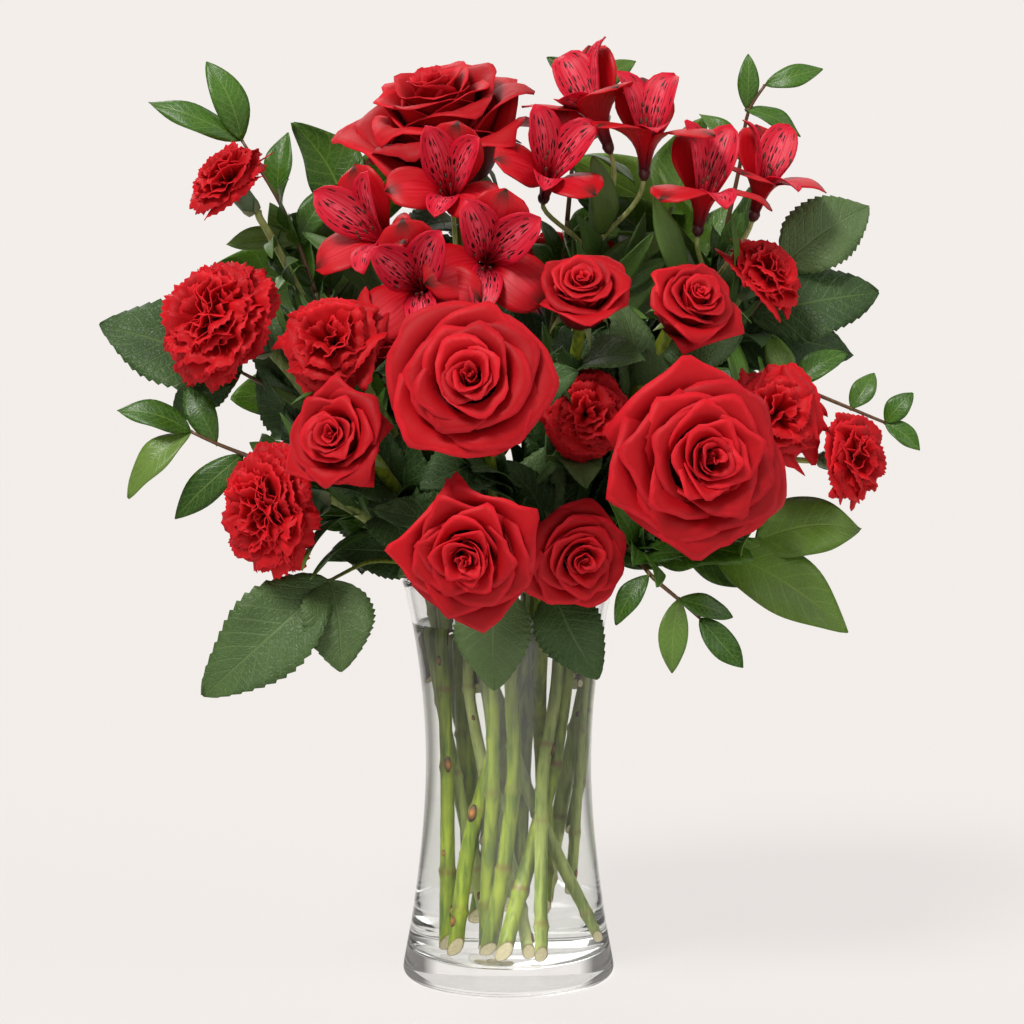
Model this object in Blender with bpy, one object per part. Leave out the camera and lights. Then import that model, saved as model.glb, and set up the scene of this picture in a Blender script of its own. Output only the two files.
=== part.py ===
"""Bouquet of red roses, carnations and alstroemeria with greens, in a flared glass vase of water.

All design values are in millimetres; MM turns them into Blender's metres.
Frame: the origin is the centre of the vase's underside, +Z is up, and the bouquet's front faces -Y.
"""

import math

import bmesh
import bpy
import numpy as np
from mathutils import Matrix, Vector

MM = 0.001
GAP = 0.3  # clearance between neighbouring solids

# Vase: an eight inch flared cylinder of clear glass with a thick floor
VASE_HEIGHT = 203.0
FOOT_RADIUS = 56.5
WAIST_RADIUS = 42.3
WAIST_HEIGHT = 108.0
RIM_RADIUS = 54.0
WALL = 3.0
FLOOR = 12.0
WATER_LEVEL = 180.0
FLARE_DOWN = 1.7
FLARE_UP = 2.0
VASE_SIDES = 28

# Stems
NECK_HEIGHT = 195.0  # height at which the stems are gathered just under the rim
INSIDE_POINTS = 3  # points of a stem below the neck
ABOVE_POINTS = 5  # steps of a stem from the neck to just below its flower
SOCKET = 7.0  # straight length just below a flower
CLEARANCE = 1.6  # free space kept between two stems while they settle
SETTLE_ROUNDS = 90
THIN = 2.1  # rods up to this radius have four sides

# Flower proportions
ROSE_DEPTH = 0.60  # depth of a rose head as a share of its diameter
ROSE_SPREAD = 0.44  # widest radius as a share of the diameter
RUFF_DEPTH = 0.46  # depth of a carnation's ruff as a share of its diameter
CALYX_LENGTH = 0.34  # length of a carnation's calyx as a share of the ruff's diameter
FLORET_LENGTH = 38.0
FLORET_RADIUS = 13.0
LEAF_THICKNESS = 1.2
LEAF_INSET = 1.2  # a blade starts this far inside its twig

# name, centre, facing, diameter, neck (x, y), foot (x, y, z), stem radius
ROSES = [
    ("rose_1", (-32, -4, 423), (-0.20, -0.42, 0.88), 92, (-19, 2), (-14, 2, 40), 3.6),
    ("rose_2", (-16, -128, 302), (-0.05, -0.97, 0.22), 75, (4, -30), (-3, -32, 13), 3.6),
    ("rose_3", (34, -98, 341), (0.00, -0.72, 0.69), 48, (20, -12), (3, -14, 26), 3.2),
    ("rose_4", (83, -88, 337), (0.35, -0.78, 0.50), 50, (14, -22), (-25, -30, 14), 3.8),
    ("rose_5", (84, -116, 268), (0.30, -0.95, 0.08), 80, (40, -18), (-16, -38, 14.5), 3.8),
    ("rose_6", (-75, -108, 277), (-0.35, -0.90, 0.20), 54, (-29, -24), (-26, -14, 13), 3.8),
    ("rose_7", (-17, -124, 229), (-0.10, -0.97, -0.20), 64, (-8, -38), (-8, -18, 13), 3.5),
    ("rose_8", (29, -88, 225), (0.30, -0.90, -0.22), 58, (26, -38), (14, -8, 30), 3.5),
    ("rose_9", (34, 74, 348), (0.20, 0.85, 0.50), 72, (10, 32), (-10, 26, 20), 3.6),
]
CARNATIONS = [
    ("carnation_1", (-142, -20, 407), (-0.60, -0.30, 0.75), 46, (-33, 10), (5, 20, 60), 2.2),
    ("carnation_2", (-145, -55, 336), (-0.65, -0.62, 0.42), 70, (-41, -10), (-6, -8, 14), 3.0),
    ("carnation_3", (-85, -92, 324), (-0.30, -0.88, 0.35), 50, (-12, -12), (-2, -20, 70), 2.4),
    ("carnation_4", (-119, -80, 243), (-0.82, -0.56, -0.08), 66, (-22, -39), (41, -6, 15), 3.0),
    ("carnation_5", (37, -84, 289), (0.02, -0.99, 0.10), 44, (25, -27), (17, -42, 13), 3.3),
    ("carnation_6", (129, -40, 359), (0.60, -0.50, 0.60), 40, (38, 2), (22, 10, 70), 2.2),
    ("carnation_9", (-62, 74, 305), (-0.45, 0.80, 0.35), 66, (-20, 35), (0, 30, 25), 3.0),
]
# two carnations on one forked stem
SPRAY_CARNATIONS = [
    ("carnation_7", (129, -77, 290), (0.25, -0.90, 0.30), 47),
    ("carnation_8", (171, -60, 267), (0.80, -0.58, 0.08), 42),
]
SPRAY_FORK = (100, -38, 262)
SPRAY_NECK = (43, -6)
SPRAY_FOOT = (24, 0, 40)

# name, base, facing
FLORETS = [
    ("alstroemeria_1", (-52, -44, 366), (-0.55, -0.72, 0.40)),
    ("alstroemeria_2", (-40, -54, 345), (-0.12, -0.97, 0.20)),
    ("alstroemeria_3", (-12, -52, 358), (0.12, -0.97, 0.18)),
    ("alstroemeria_4", (-27, -44, 386), (-0.05, -0.86, 0.50)),
    ("alstroemeria_5", (17, -26, 392), (0.15, -0.75, 0.62)),
    ("alstroemeria_6", (50, -30, 416), (-0.38, -0.15, 0.91)),
    ("alstroemeria_7", (66, -42, 402), (0.05, -0.25, 0.97)),
    ("alstroemeria_8", (92, -42, 375), (0.15, -0.30, 0.94)),
    ("alstroemeria_9", (122, -12, 384), (0.25, -0.30, 0.92)),
]
# name, umbel's fork, direction there, neck, foot, radius, the florets that it carries
UMBELS = [
    ("alstroemeria_stem_1", (-22, -30, 320), (-0.2, -0.3, 0.9), (-8, -20), (10, -30, 13), 3.0, (1, 2, 3, 4)),
    ("alstroemeria_stem_2", (40, -16, 362), (0.2, -0.1, 0.9), (6, 5), (-6, 12, 13), 3.0, (5, 6, 7)),
    ("alstroemeria_stem_3", (98, -20, 345), (0.3, -0.2, 0.9), (20, 12), (12, 15, 30), 3.0, (8, 9)),
]
PEDICEL_RADIUS = 1.2
STRAP_LEAVES = {
    "alstroemeria_stem_1": [((-22, -30, 320), (-58, -42, 336), (-100, -38, 378), 13)],
    "alstroemeria_stem_2": [((40, -16, 362), (46, -26, 376), (42, -44, 412), 14)],
    "alstroemeria_stem_3": [((98, -20, 345), (86, -30, 352), (72, -50, 392), 14)],
}

# Greens. name, kind, fork, direction there, neck, foot, radius, branches, leaves.
# A branch is a list of points that starts at the fork or on another branch.
# A leaf is its base, on a branch, its tip and its width.
GREENS = [
    (
        "huckleberry_spray_1", "small", (-98, 4, 348), (-0.2, 0.1, 1), (-30, 16), (-21, 16, 150), 1.7,
        [[(-98, 4, 348), (-107, 8, 374), (-117, 10, 396), (-135, 8, 425)]],
        [
            ((-135, 8, 425), (-152, 6, 465), 18), ((-135, 8, 425), (-181, 4, 446), 16),
            ((-117, 10, 396), (-113, 12, 430), 15), ((-107, 8, 374), (-86, 12, 404), 16),
            ((-107, 8, 374), (-144, 10, 374), 14),
        ],
    ),
    (
        "huckleberry_spray_2", "small", (-104, -50, 258), (-0.9, -0.2, 0.3), (-42, 2), (-30, 6, 150), 1.7,
        [[(-104, -50, 258), (-130, -40, 268), (-143, -42, 273), (-155, -44, 279)]],
        [
            ((-155, -44, 279), (-190, -48, 291), 16), ((-155, -44, 279), (-187, -48, 248), 17),
            ((-130, -40, 268), (-165, -38, 236), 17), ((-143, -42, 273), (-160, -34, 302), 15),
        ],
    ),
    (
        "huckleberry_spray_3", "small", (110, 14, 376), (0.1, 0, 1), (25, 20), (20, 20, 152), 1.6,
        [[(110, 14, 376), (118, 8, 415), (120, 2, 440), (129, 0, 452)]],
        [
            ((120, 2, 440), (121, 2, 468), 11), ((129, 0, 452), (158, 0, 461), 12),
            ((120, 2, 440), (148, 2, 428), 12), ((118, 8, 415), (98, 12, 440), 12),
        ],
    ),
    (
        "huckleberry_spray_4", "small", (108, -14, 292), (0.9, -0.2, 0.3), (40, 13), (32, 11, 148), 1.6,
        [[(108, -14, 292), (141, -24, 302), (170, -26, 290), (187, -26, 283)]],
        [
            ((141, -24, 302), (168, -24, 318), 14), ((170, -26, 290), (182, -22, 308), 12),
            ((187, -26, 283), (200, -28, 298), 12), ((187, -26, 283), (204, -30, 270), 11),
            ((141, -24, 302), (130, -16, 328), 14),
        ],
    ),
    (
        "huckleberry_spray_5", "small", (60, -72, 224), (0.4, -0.9, 0), (43, -20), (31, -17, 150), 1.6,
        [[(60, -72, 224), (66, -92, 213), (80, -94, 202), (90, -94, 193)]],
        [
            ((66, -92, 213), (50, -94, 190), 12), ((80, -94, 202), (106, -94, 194), 12),
            ((80, -94, 202), (77, -96, 167), 14), ((90, -94, 193), (111, -96, 170), 14),
        ],
    ),
    (
        "huckleberry_spray_6", "small", (30, 14, 385), (0, 0, 1), (0, 25), (0, 23, 154), 1.6,
        [[(30, 14, 385), (33, 8, 420), (38, 6, 448)]],
        [
            ((38, 6, 448), (20, 4, 467), 12), ((38, 6, 448), (64, 4, 465), 13),
            ((33, 8, 420), (8, 14, 438), 12), ((33, 8, 420), (52, 18, 440), 12),
        ],
    ),
    (
        "serrated_leaf_spray_1", "serrated", (108, 4, 322), (0.5, -0.1, 0.8), (30, 28), (26, 27, 146), 2.0,
        [[(108, 4, 322), (122, -4, 336), (138, -6, 362)]],
        [
            ((138, -6, 362), (182, 0, 393), 36), ((122, -4, 336), (186, -8, 350), 40),
            ((108, 4, 322), (178, 14, 318), 34), ((122, -4, 336), (140, 22, 372), 30),
        ],
    ),
    (
        "serrated_leaf_spray_2", "serrated", (-112, -8, 296), (-0.7, 0, 0.5), (-38, 20), (-30, 20, 148), 2.0,
        [[(-112, -8, 296), (-134, -12, 308)]],
        [
            ((-134, -12, 308), (-204, -16, 334), 46), ((-112, -8, 296), (-124, 4, 350), 24),
            ((-134, -12, 308), (-172, 0, 284), 28),
        ],
    ),
    (
        "salal_spray_1", "broad", (84, -46, 222), (0.7, -0.5, 0.1), (46, -8), (36, -3, 150), 1.9,
        [[(84, -46, 222), (102, -52, 222), (120, -52, 226)]],
        [
            ((120, -52, 226), (174, -42, 233), 32), ((102, -52, 222), (166, -60, 184), 34),
            ((84, -46, 222), (128, -22, 206), 32),
        ],
    ),
    (
        "salal_spray_2", "broad", (-44, 62, 262), (-0.4, 0.6, 0.6), (-12, 42), (-10, 40, 144), 2.2,
        [[(-44, 62, 262), (-84, 44, 300), (-96, 40, 344), (-84, 36, 388)]],
        [
            ((-84, 44, 300), (-146, 56, 296), 40), ((-96, 40, 344), (-152, 40, 366), 38),
            ((-84, 36, 388), (-110, 46, 438), 36), ((-44, 62, 262), (-82, 92, 222), 38),
            ((-96, 40, 344), (-50, 78, 380), 40), ((-84, 36, 388), (-42, 50, 424), 36),
            ((-44, 62, 262), (-10, 100, 268), 36),
        ],
    ),
    (
        "salal_spray_3", "broad", (46, 62, 262), (0.4, 0.6, 0.6), (26, 38), (22, 37, 146), 2.2,
        [[(46, 62, 262), (80, 46, 300), (92, 42, 344), (84, 36, 390)]],
        [
            ((80, 46, 300), (148, 52, 288), 40), ((92, 42, 344), (146, 52, 366), 38),
            ((84, 36, 390), (100, 48, 440), 36), ((46, 62, 262), (86, 86, 220), 38),
            ((84, 36, 390), (34, 50, 420), 36), ((46, 62, 262), (14, 96, 300), 34),
            ((46, 62, 262), (30, 96, 222), 36),
        ],
    ),
]
# Leaves that grow on rose stems. stem, branch, leaves; the branch starts on the stem above the neck.
ROSE_LEAVES = {
    "rose_6": (
        [(-50, -40, 215), (-68, -54, 217), (-86, -66, 208)],
        [((-86, -66, 208), (-149, -68, 153), 42), ((-86, -66, 208), (-80, -78, 166), 34)],
    ),
    "rose_7": ([(-6, -53, 214), (-6, -70, 205)], [((-6, -70, 205), (-6, -84, 158), 36)]),
    "rose_8": ([(20, -51, 214), (21, -66, 204)], [((21, -66, 204), (43, -80, 163), 32)]),
}
ROSE_BRANCH_RADIUS = 1.4
TWIG_RADIUS = 1.5

COLOURS = {
    "glass": ((0.93, 0.96, 0.96, 1), 0.02),
    "water": ((0.88, 0.93, 0.92, 1), 0.02),
    "rose_petal": ((0.42, 0.010, 0.020, 1), 0.55),
    "carnation_petal": ((0.52, 0.012, 0.026, 1), 0.60),
    "alstroemeria_petal": ((0.48, 0.010, 0.035, 1), 0.45),
    "rose_stem": ((0.16, 0.24, 0.03, 1), 0.50),
    "carnation_stem": ((0.30, 0.38, 0.12, 1), 0.50),
    "alstroemeria_stem": ((0.22, 0.32, 0.08, 1), 0.50),
    "small_leaf": ((0.03, 0.11, 0.02, 1), 0.35),
    "serrated_leaf": ((0.05, 0.11, 0.05, 1), 0.55),
    "broad_leaf": ((0.03, 0.10, 0.01, 1), 0.35),
}


def clear_scene():
    for obj in list(bpy.data.objects):
        bpy.data.objects.remove(obj)


def material(name):
    """One Principled material per finish, shared by the pieces that have it."""
    found = bpy.data.materials.get(name)
    if found:
        return found
    made = bpy.data.materials.new(name)
    made.use_nodes = True
    shader = made.node_tree.nodes["Principled BSDF"]
    colour, roughness = COLOURS[name]
    shader.inputs["Base Color"].default_value = colour
    shader.inputs["Roughness"].default_value = roughness
    shader.inputs["Metallic"].default_value = 0.0
    if name in ("glass", "water"):
        shader.inputs["Transmission Weight"].default_value = 1.0
    return made


def add_object(name, bm, finish):
    """Turns a bmesh in millimetres into a smooth-shaded object in metres."""
    bmesh.ops.scale(bm, vec=(MM, MM, MM), verts=bm.verts)
    mesh = bpy.data.meshes.new(name)
    bm.to_mesh(mesh)
    bm.free()
    mesh.shade_smooth()
    mesh.materials.append(material(finish))
    obj = bpy.data.objects.new(name, mesh)
    bpy.context.scene.collection.objects.link(obj)
    return obj


def frame_along(origin, facing):
    """Matrix that stands a shape made along +Z at origin, pointing along facing."""
    turn = Vector(facing).normalized().to_track_quat("Z", "Y").to_matrix().to_4x4()
    return Matrix.Translation(Vector(origin)) @ turn


def revolve(profile, steps):
    """Closed turned body from (radius, height) points that start and end on the axis."""
    bm = bmesh.new()
    verts = [bm.verts.new((r, 0, z)) for r, z in profile]
    edges = [bm.edges.new(pair) for pair in zip(verts, verts[1:])]
    bmesh.ops.spin(
        bm, geom=verts + edges, axis=(0, 0, 1), cent=(0, 0, 0), steps=steps, angle=math.tau, use_merge=True
    )
    bmesh.ops.remove_doubles(bm, verts=bm.verts, dist=0.01)
    bmesh.ops.recalc_face_normals(bm, faces=bm.faces)
    return bm


def outer_radius(z):
    """Radius of the vase's outside: wide foot, narrow waist, flared rim."""
    if z < WAIST_HEIGHT:
        fall = (WAIST_HEIGHT - z) / WAIST_HEIGHT
        return WAIST_RADIUS + (FOOT_RADIUS - WAIST_RADIUS) * fall**FLARE_DOWN
    rise = (z - WAIST_HEIGHT) / (VASE_HEIGHT - WAIST_HEIGHT)
    return WAIST_RADIUS + (RIM_RADIUS - WAIST_RADIUS) * rise**FLARE_UP


def inner_radius(z):
    return outer_radius(z) - WALL


def make_vase():
    foot_round = 5.0
    outside = [(0, 0), (outer_radius(0) - foot_round, 0), (outer_radius(2) - 1.2, 1.6)]
    outside += [(outer_radius(z), z) for z in (7, 30, 60, 95, 130, 165)]
    rim = [(outer_radius(VASE_HEIGHT), VASE_HEIGHT), (inner_radius(VASE_HEIGHT), VASE_HEIGHT)]
    inside = [(inner_radius(z), z) for z in (165, 130, 95, 60, 30)]
    floor = [(inner_radius(15) - 3.5, 14.5), (inner_radius(12) - 8, FLOOR), (0, FLOOR)]
    return add_object("glass_vase", revolve(outside + rim + inside + floor, VASE_SIDES), "glass")


def make_water(stems):
    """Water that fills the vase to its level and parts around every stem."""
    wet = [(inner_radius(z) - 2 * GAP, z) for z in (30, 60, 95, 130, 165)]
    wet += [(inner_radius(WATER_LEVEL) - 2 * GAP, WATER_LEVEL), (0, WATER_LEVEL)]
    low = [(0, FLOOR + GAP), (inner_radius(12) - 9, FLOOR + GAP), (inner_radius(15) - 4.5, 15)]
    water = add_object("water", revolve(low + wet, VASE_SIDES), "water")
    for stem in stems:
        route = [Vector(p) for p in stem["points"]]
        inside = [p for p in route if p.z < WATER_LEVEL + 12]
        extra = route[len(inside)]
        end = inside[0]
        sink = (inside[1] - end).normalized()
        drop = 3.0 if end.z < FLOOR + 4 else 2 * GAP
        channel = [end - sink * drop] + inside[1:] + [extra]
        cutter = make_tube(stem["name"] + "_channel", channel, stem["radius"] + 2 * GAP, "water")
        cutter.hide_render = True
        cutter.display_type = "WIRE"
        cut = water.modifiers.new(cutter.name, "BOOLEAN")
        cut.operation = "DIFFERENCE"
        cut.solver = "EXACT"
        cut.object = cutter
    return water


def make_tube(name, points, radius, finish):
    """Closed rod along the points, with six sides, or four where it is thin."""
    curve = bpy.data.curves.new(name, "CURVE")
    curve.dimensions = "3D"
    curve.bevel_depth = radius * MM
    curve.bevel_resolution = 1 if radius > THIN else 0
    curve.use_fill_caps = True
    spline = curve.splines.new("POLY")
    spline.points.add(len(points) - 1)
    for target, point in zip(spline.points, points):
        target.co = (*(Vector(point) * MM), 1)
    rod = bpy.data.objects.new(name, curve)
    bpy.context.scene.collection.objects.link(rod)
    graph = bpy.context.evaluated_depsgraph_get()
    mesh = bpy.data.meshes.new_from_object(rod.evaluated_get(graph))
    bpy.data.objects.remove(rod)
    bm = bmesh.new()
    bm.from_mesh(mesh)
    bmesh.ops.remove_doubles(bm, verts=bm.verts, dist=0.00001)
    bmesh.ops.recalc_face_normals(bm, faces=bm.faces)
    bm.to_mesh(mesh)
    bm.free()
    mesh.shade_smooth()
    mesh.materials.clear()
    mesh.materials.append(material(finish))
    made = bpy.data.objects.new(name, mesh)
    bpy.context.scene.collection.objects.link(made)
    return made


def leaf_normal(base, tip):
    """Blades turn their upper side outwards and a little up."""
    along = (Vector(tip) - Vector(base)).normalized()
    outward = Vector((0, -1, 0.5)) if base[1] < 25 else Vector((0, 1, 0.5))
    return along, (outward - along * outward.dot(along)).normalized()


def blade_point(base, along, normal, length, width, across, t):
    """Point of a leaf blade: across runs -1 to 1, t runs from the base to the tip."""
    side = along.cross(normal)
    half = 0.5 * width * (0.10 + 0.90 * math.sin(math.pi * min(1.0, 0.12 + 0.86 * t)) ** 0.8)
    half *= 1.0 if t < 0.98 else 0.35
    lift = 0.08 * abs(across) * width - 0.10 * length * t * t
    return Vector(base) + along * (t * length) + side * (across * half) + normal * lift


def make_leaf(name, base, tip, width, finish):
    """Thin closed blade from base to tip, gently folded along its midrib."""
    along, normal = leaf_normal(base, tip)
    base = Vector(base) - along * LEAF_INSET
    length = (Vector(tip) - base).length
    bm = bmesh.new()
    bmesh.ops.create_grid(bm, x_segments=2, y_segments=2, size=1.0)
    for vert in bm.verts:
        across, t = vert.co.x, 0.5 * (vert.co.y + 1.0)
        vert.co = blade_point(base, along, normal, length, width, across, t)
    top = bmesh.ops.extrude_face_region(bm, geom=bm.faces[:], use_keep_orig=True)
    raised = [item for item in top["geom"] if isinstance(item, bmesh.types.BMVert)]
    bmesh.ops.translate(bm, vec=normal * LEAF_THICKNESS, verts=raised)
    bmesh.ops.recalc_face_normals(bm, faces=bm.faces)
    return add_object(name, bm, finish)


def fuse(name, parts):
    """Unites overlapping solids into one closed object.

    The EXACT solver drops a body where several blades start at one joint, so this uses MANIFOLD.
    """
    body = parts[0]
    for other in parts[1:]:
        join = body.modifiers.new(other.name, "BOOLEAN")
        join.operation = "UNION"
        join.solver = "MANIFOLD"
        join.object = other
    graph = bpy.context.evaluated_depsgraph_get()
    mesh = bpy.data.meshes.new_from_object(body.evaluated_get(graph))
    for part in parts:
        bpy.data.objects.remove(part)
    mesh.name = name
    made = bpy.data.objects.new(name, mesh)
    bpy.context.scene.collection.objects.link(made)
    return made


def rose_base(centre, facing, diameter):
    return Vector(centre) - Vector(facing).normalized() * (0.5 * ROSE_DEPTH * diameter)


def make_rose(name, centre, facing, diameter):
    """Rose head: a bowl of petals with five soft lobes and a domed bud in the middle."""
    depth = ROSE_DEPTH * diameter
    spread = ROSE_SPREAD * diameter
    profile = [(0, 0), (0.16 * spread, 0), (0.55 * spread, 0.18 * depth), (0.90 * spread, 0.50 * depth)]
    profile += [(spread, 0.80 * depth), (0.60 * spread, 0.92 * depth), (0, depth)]
    bm = revolve(profile, 15)
    for vert in bm.verts:
        if vert.co.z > 0.4 * depth:
            lobe = 1.0 + 0.05 * math.cos(5 * math.atan2(vert.co.y, vert.co.x))
            vert.co.x *= lobe
            vert.co.y *= lobe
    bmesh.ops.transform(bm, matrix=frame_along(rose_base(centre, facing, diameter), facing), verts=bm.verts)
    return add_object(name, bm, "rose_petal")


def carnation_base(centre, facing, diameter):
    back = (0.5 * RUFF_DEPTH + CALYX_LENGTH) * diameter
    return Vector(centre) - Vector(facing).normalized() * back


def make_carnation(name, centre, facing, diameter):
    """Carnation head: a tubular calyx that opens into a domed ruff of petals."""
    calyx = CALYX_LENGTH * diameter
    ruff = RUFF_DEPTH * diameter
    spread = 0.45 * diameter
    profile = [(0, 0), (0.15 * spread, 0), (0.24 * spread, 0.3 * calyx), (0.26 * spread, calyx)]
    profile += [(0.88 * spread, calyx + 0.16 * ruff), (spread, calyx + 0.45 * ruff)]
    profile += [(0.66 * spread, calyx + 0.88 * ruff), (0, calyx + ruff)]
    bm = revolve(profile, 12)
    base = carnation_base(centre, facing, diameter)
    bmesh.ops.transform(bm, matrix=frame_along(base, facing), verts=bm.verts)
    return add_object(name, bm, "carnation_petal")


def make_floret(name, base, facing):
    """Alstroemeria floret: a solid funnel whose mouth has six lobes."""
    profile = [(0, 0), (2.2, 0), (3.0, 6), (5.5, 0.45 * FLORET_LENGTH), (FLORET_RADIUS, FLORET_LENGTH)]
    profile += [(0, 0.86 * FLORET_LENGTH)]
    bm = revolve(profile, 12)
    for vert in bm.verts:
        if vert.co.z > 0.95 * FLORET_LENGTH:
            lobe = 1.0 + 0.12 * math.cos(6 * math.atan2(vert.co.y, vert.co.x))
            vert.co.x *= lobe
            vert.co.y *= lobe
    bmesh.ops.transform(bm, matrix=frame_along(base, facing), verts=bm.verts)
    return add_object(name, bm, "alstroemeria_petal")


def stem_route(neck, foot, top, facing):
    """Straight from the foot to the neck, then one smooth sweep that meets the flower squarely."""
    foot, top = Vector(foot), Vector(top)
    neck = Vector((*neck, NECK_HEIGHT))
    below = [foot.lerp(neck, k / INSIDE_POINTS) for k in range(INSIDE_POINTS)]
    reach = (top - neck).length
    start = (neck - foot).normalized() * reach
    finish = Vector(facing).normalized() * reach
    above = []
    socket = top - finish.normalized() * SOCKET
    for k in range(ABOVE_POINTS + 1):
        t = k / ABOVE_POINTS
        above.append(
            neck * (2 * t**3 - 3 * t**2 + 1) + start * (t**3 - 2 * t**2 + t)
            + socket * (3 * t**2 - 2 * t**3) + finish * (t**3 - t**2)
        )
    return np.array([tuple(p) for p in below + above + [top]])


def new_stem(name, neck, foot, top, facing, radius):
    end = Vector(top) - Vector(facing).normalized() * GAP
    return {"name": name, "radius": radius, "points": stem_route(neck, foot, end, facing)}


def nearest_on_segments(p1, d1, p2, d2):
    """Parameters of the closest points of many pairs of segments p + t d, t from 0 to 1."""
    r = p1 - p2
    a = np.einsum("ij,ij->i", d1, d1)
    e = np.einsum("ij,ij->i", d2, d2)
    b = np.einsum("ij,ij->i", d1, d2)
    c = np.einsum("ij,ij->i", d1, r)
    f = np.einsum("ij,ij->i", d2, r)
    denominator = np.maximum(a * e - b * b, 1e-9)
    s = np.clip((b * f - c * e) / denominator, 0, 1)
    t = np.clip((b * s + f) / np.maximum(e, 1e-9), 0, 1)
    s = np.clip((b * t - c) / np.maximum(a, 1e-9), 0, 1)
    return s, t


def push_apart(points, first, owner, radius, weight):
    """Moves the ends of every pair of segments that pass too close to each other."""
    i, j = np.triu_indices(len(first), 1)
    other = owner[first[i]] != owner[first[j]]
    i, j = first[i[other]], first[j[other]]
    p1, d1 = points[i], points[i + 1] - points[i]
    p2, d2 = points[j], points[j + 1] - points[j]
    s, t = nearest_on_segments(p1, d1, p2, d2)
    away = (p1 + d1 * s[:, None]) - (p2 + d2 * t[:, None])
    distance = np.linalg.norm(away, axis=1)
    lack = radius[i] + radius[j] + CLEARANCE - distance
    near = lack > 0
    i, j, s, t = i[near], j[near], s[near], t[near]
    step = away[near] / np.maximum(distance[near], 1e-6)[:, None] * (0.5 * lack[near])[:, None]
    for index, share, sign in ((i, 1 - s, 1), (i + 1, s, 1), (j, 1 - t, -1), (j + 1, t, -1)):
        move = step * (sign * share * weight[index])[:, None]
        np.add.at(points, index, move)


def avoid_obstacles(points, first, owner, radius, weight, obstacles):
    """Moves stem segments out of the balls that stand for flowers, pedicels and leaves."""
    centres, sizes, owners = obstacles
    for index in first[points[first + 1, 2] > NECK_HEIGHT]:
        start, run = points[index], points[index + 1] - points[index]
        share = np.clip((centres - start) @ run / max(run @ run, 1e-9), 0, 1)
        away = start + share[:, None] * run - centres
        distance = np.linalg.norm(away, axis=1)
        lack = np.where(owners == owner[index], 0.0, sizes + radius[index] + CLEARANCE - distance)
        worst = int(np.argmax(lack))
        if lack[worst] > 0:
            step = away[worst] / max(distance[worst], 1e-6) * (0.8 * lack[worst])
            points[index] += step * (1 - share[worst]) * weight[index]
            points[index + 1] += step * share[worst] * weight[index + 1]


def keep_in_vase(points, first, radius, weight):
    """Holds the stems inside the glass, and lets them cross the rim's level only over its mouth."""
    level = VASE_HEIGHT + 2
    low, high = points[first], points[first + 1]
    for index in first[(low[:, 2] < level) & (high[:, 2] >= level)]:
        share = (level - points[index, 2]) / (points[index + 1, 2] - points[index, 2])
        cross = points[index] * (1 - share) + points[index + 1] * share
        out = math.hypot(cross[0], cross[1])
        room = inner_radius(VASE_HEIGHT) - 1.5 * radius[index] - 2.5
        if out > room:
            back = np.array([cross[0], cross[1], 0]) * (1 - room / out)
            points[index] -= back * weight[index]
            points[index + 1] -= back * weight[index + 1]
    for index in np.nonzero(points[:, 2] < VASE_HEIGHT + 6)[0]:
        z = points[index, 2]
        room = inner_radius(min(z, VASE_HEIGHT)) - radius[index] - 1.6
        if z < FLOOR + 6:
            room -= 4.5
        out = math.hypot(points[index, 0], points[index, 1])
        if out > room:
            points[index, :2] *= room / out


def settle(stems, obstacles):
    """Lets all the stems find room between each other, as they do when a bunch is dropped in."""
    count = INSIDE_POINTS + ABOVE_POINTS + 2
    points = np.vstack([stem["points"] for stem in stems])
    owner = np.repeat(np.arange(len(stems)), count)
    radius = np.repeat([stem["radius"] for stem in stems], count).astype(float)
    place = np.tile(np.arange(count), len(stems))
    weight = np.where(place >= count - 2, 0.0, 1.0)
    first = np.nonzero(place < count - 1)[0]
    inner = np.nonzero((place > 0) & (place < count - 2))[0]
    feet = points[place == 0, 2].copy()
    for turn in range(SETTLE_ROUNDS):
        if turn < 0.6 * SETTLE_ROUNDS:
            middle = 0.5 * (points[inner - 1] + points[inner + 1])
            points[inner] += 0.15 * (middle - points[inner])
        push_apart(points, first, owner, radius, weight)
        avoid_obstacles(points, first, owner, radius, weight, obstacles)
        keep_in_vase(points, first, radius, weight)
        points[place == 0, 2] = feet
    for k, stem in enumerate(stems):
        stem["points"] = points[k * count : (k + 1) * count]


def leaf_balls(base, tip, width):
    """Balls spread over a leaf blade, for the stems to keep clear of."""
    length = (Vector(tip) - Vector(base)).length
    along, normal = leaf_normal(base, tip)
    return [
        (blade_point(base, along, normal, length, width, across, t), 2.0)
        for t in (0.1, 0.25, 0.4, 0.55, 0.7, 0.85, 1.0)
        for across in (-1, -0.5, 0, 0.5, 1)
    ]


def line_balls(start, end, radius):
    start, end = Vector(start), Vector(end)
    count = max(2, int((end - start).length / 5))
    return [(start.lerp(end, k / count), radius) for k in range(count + 1)]


def head_balls(base, centre, facing, diameter, depth):
    """Balls along a flower head's axis: small at the base, full size at the petals."""
    facing = Vector(facing).normalized()
    ball = 0.46 * diameter
    front = Vector(centre) + facing * (0.5 * depth - 0.55 * ball)
    back = Vector(base) + facing * (0.35 * diameter)
    neck = Vector(base) + facing * (0.14 * diameter)
    return [(front, ball), (back, 0.30 * diameter), (neck, 0.14 * diameter)]


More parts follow.
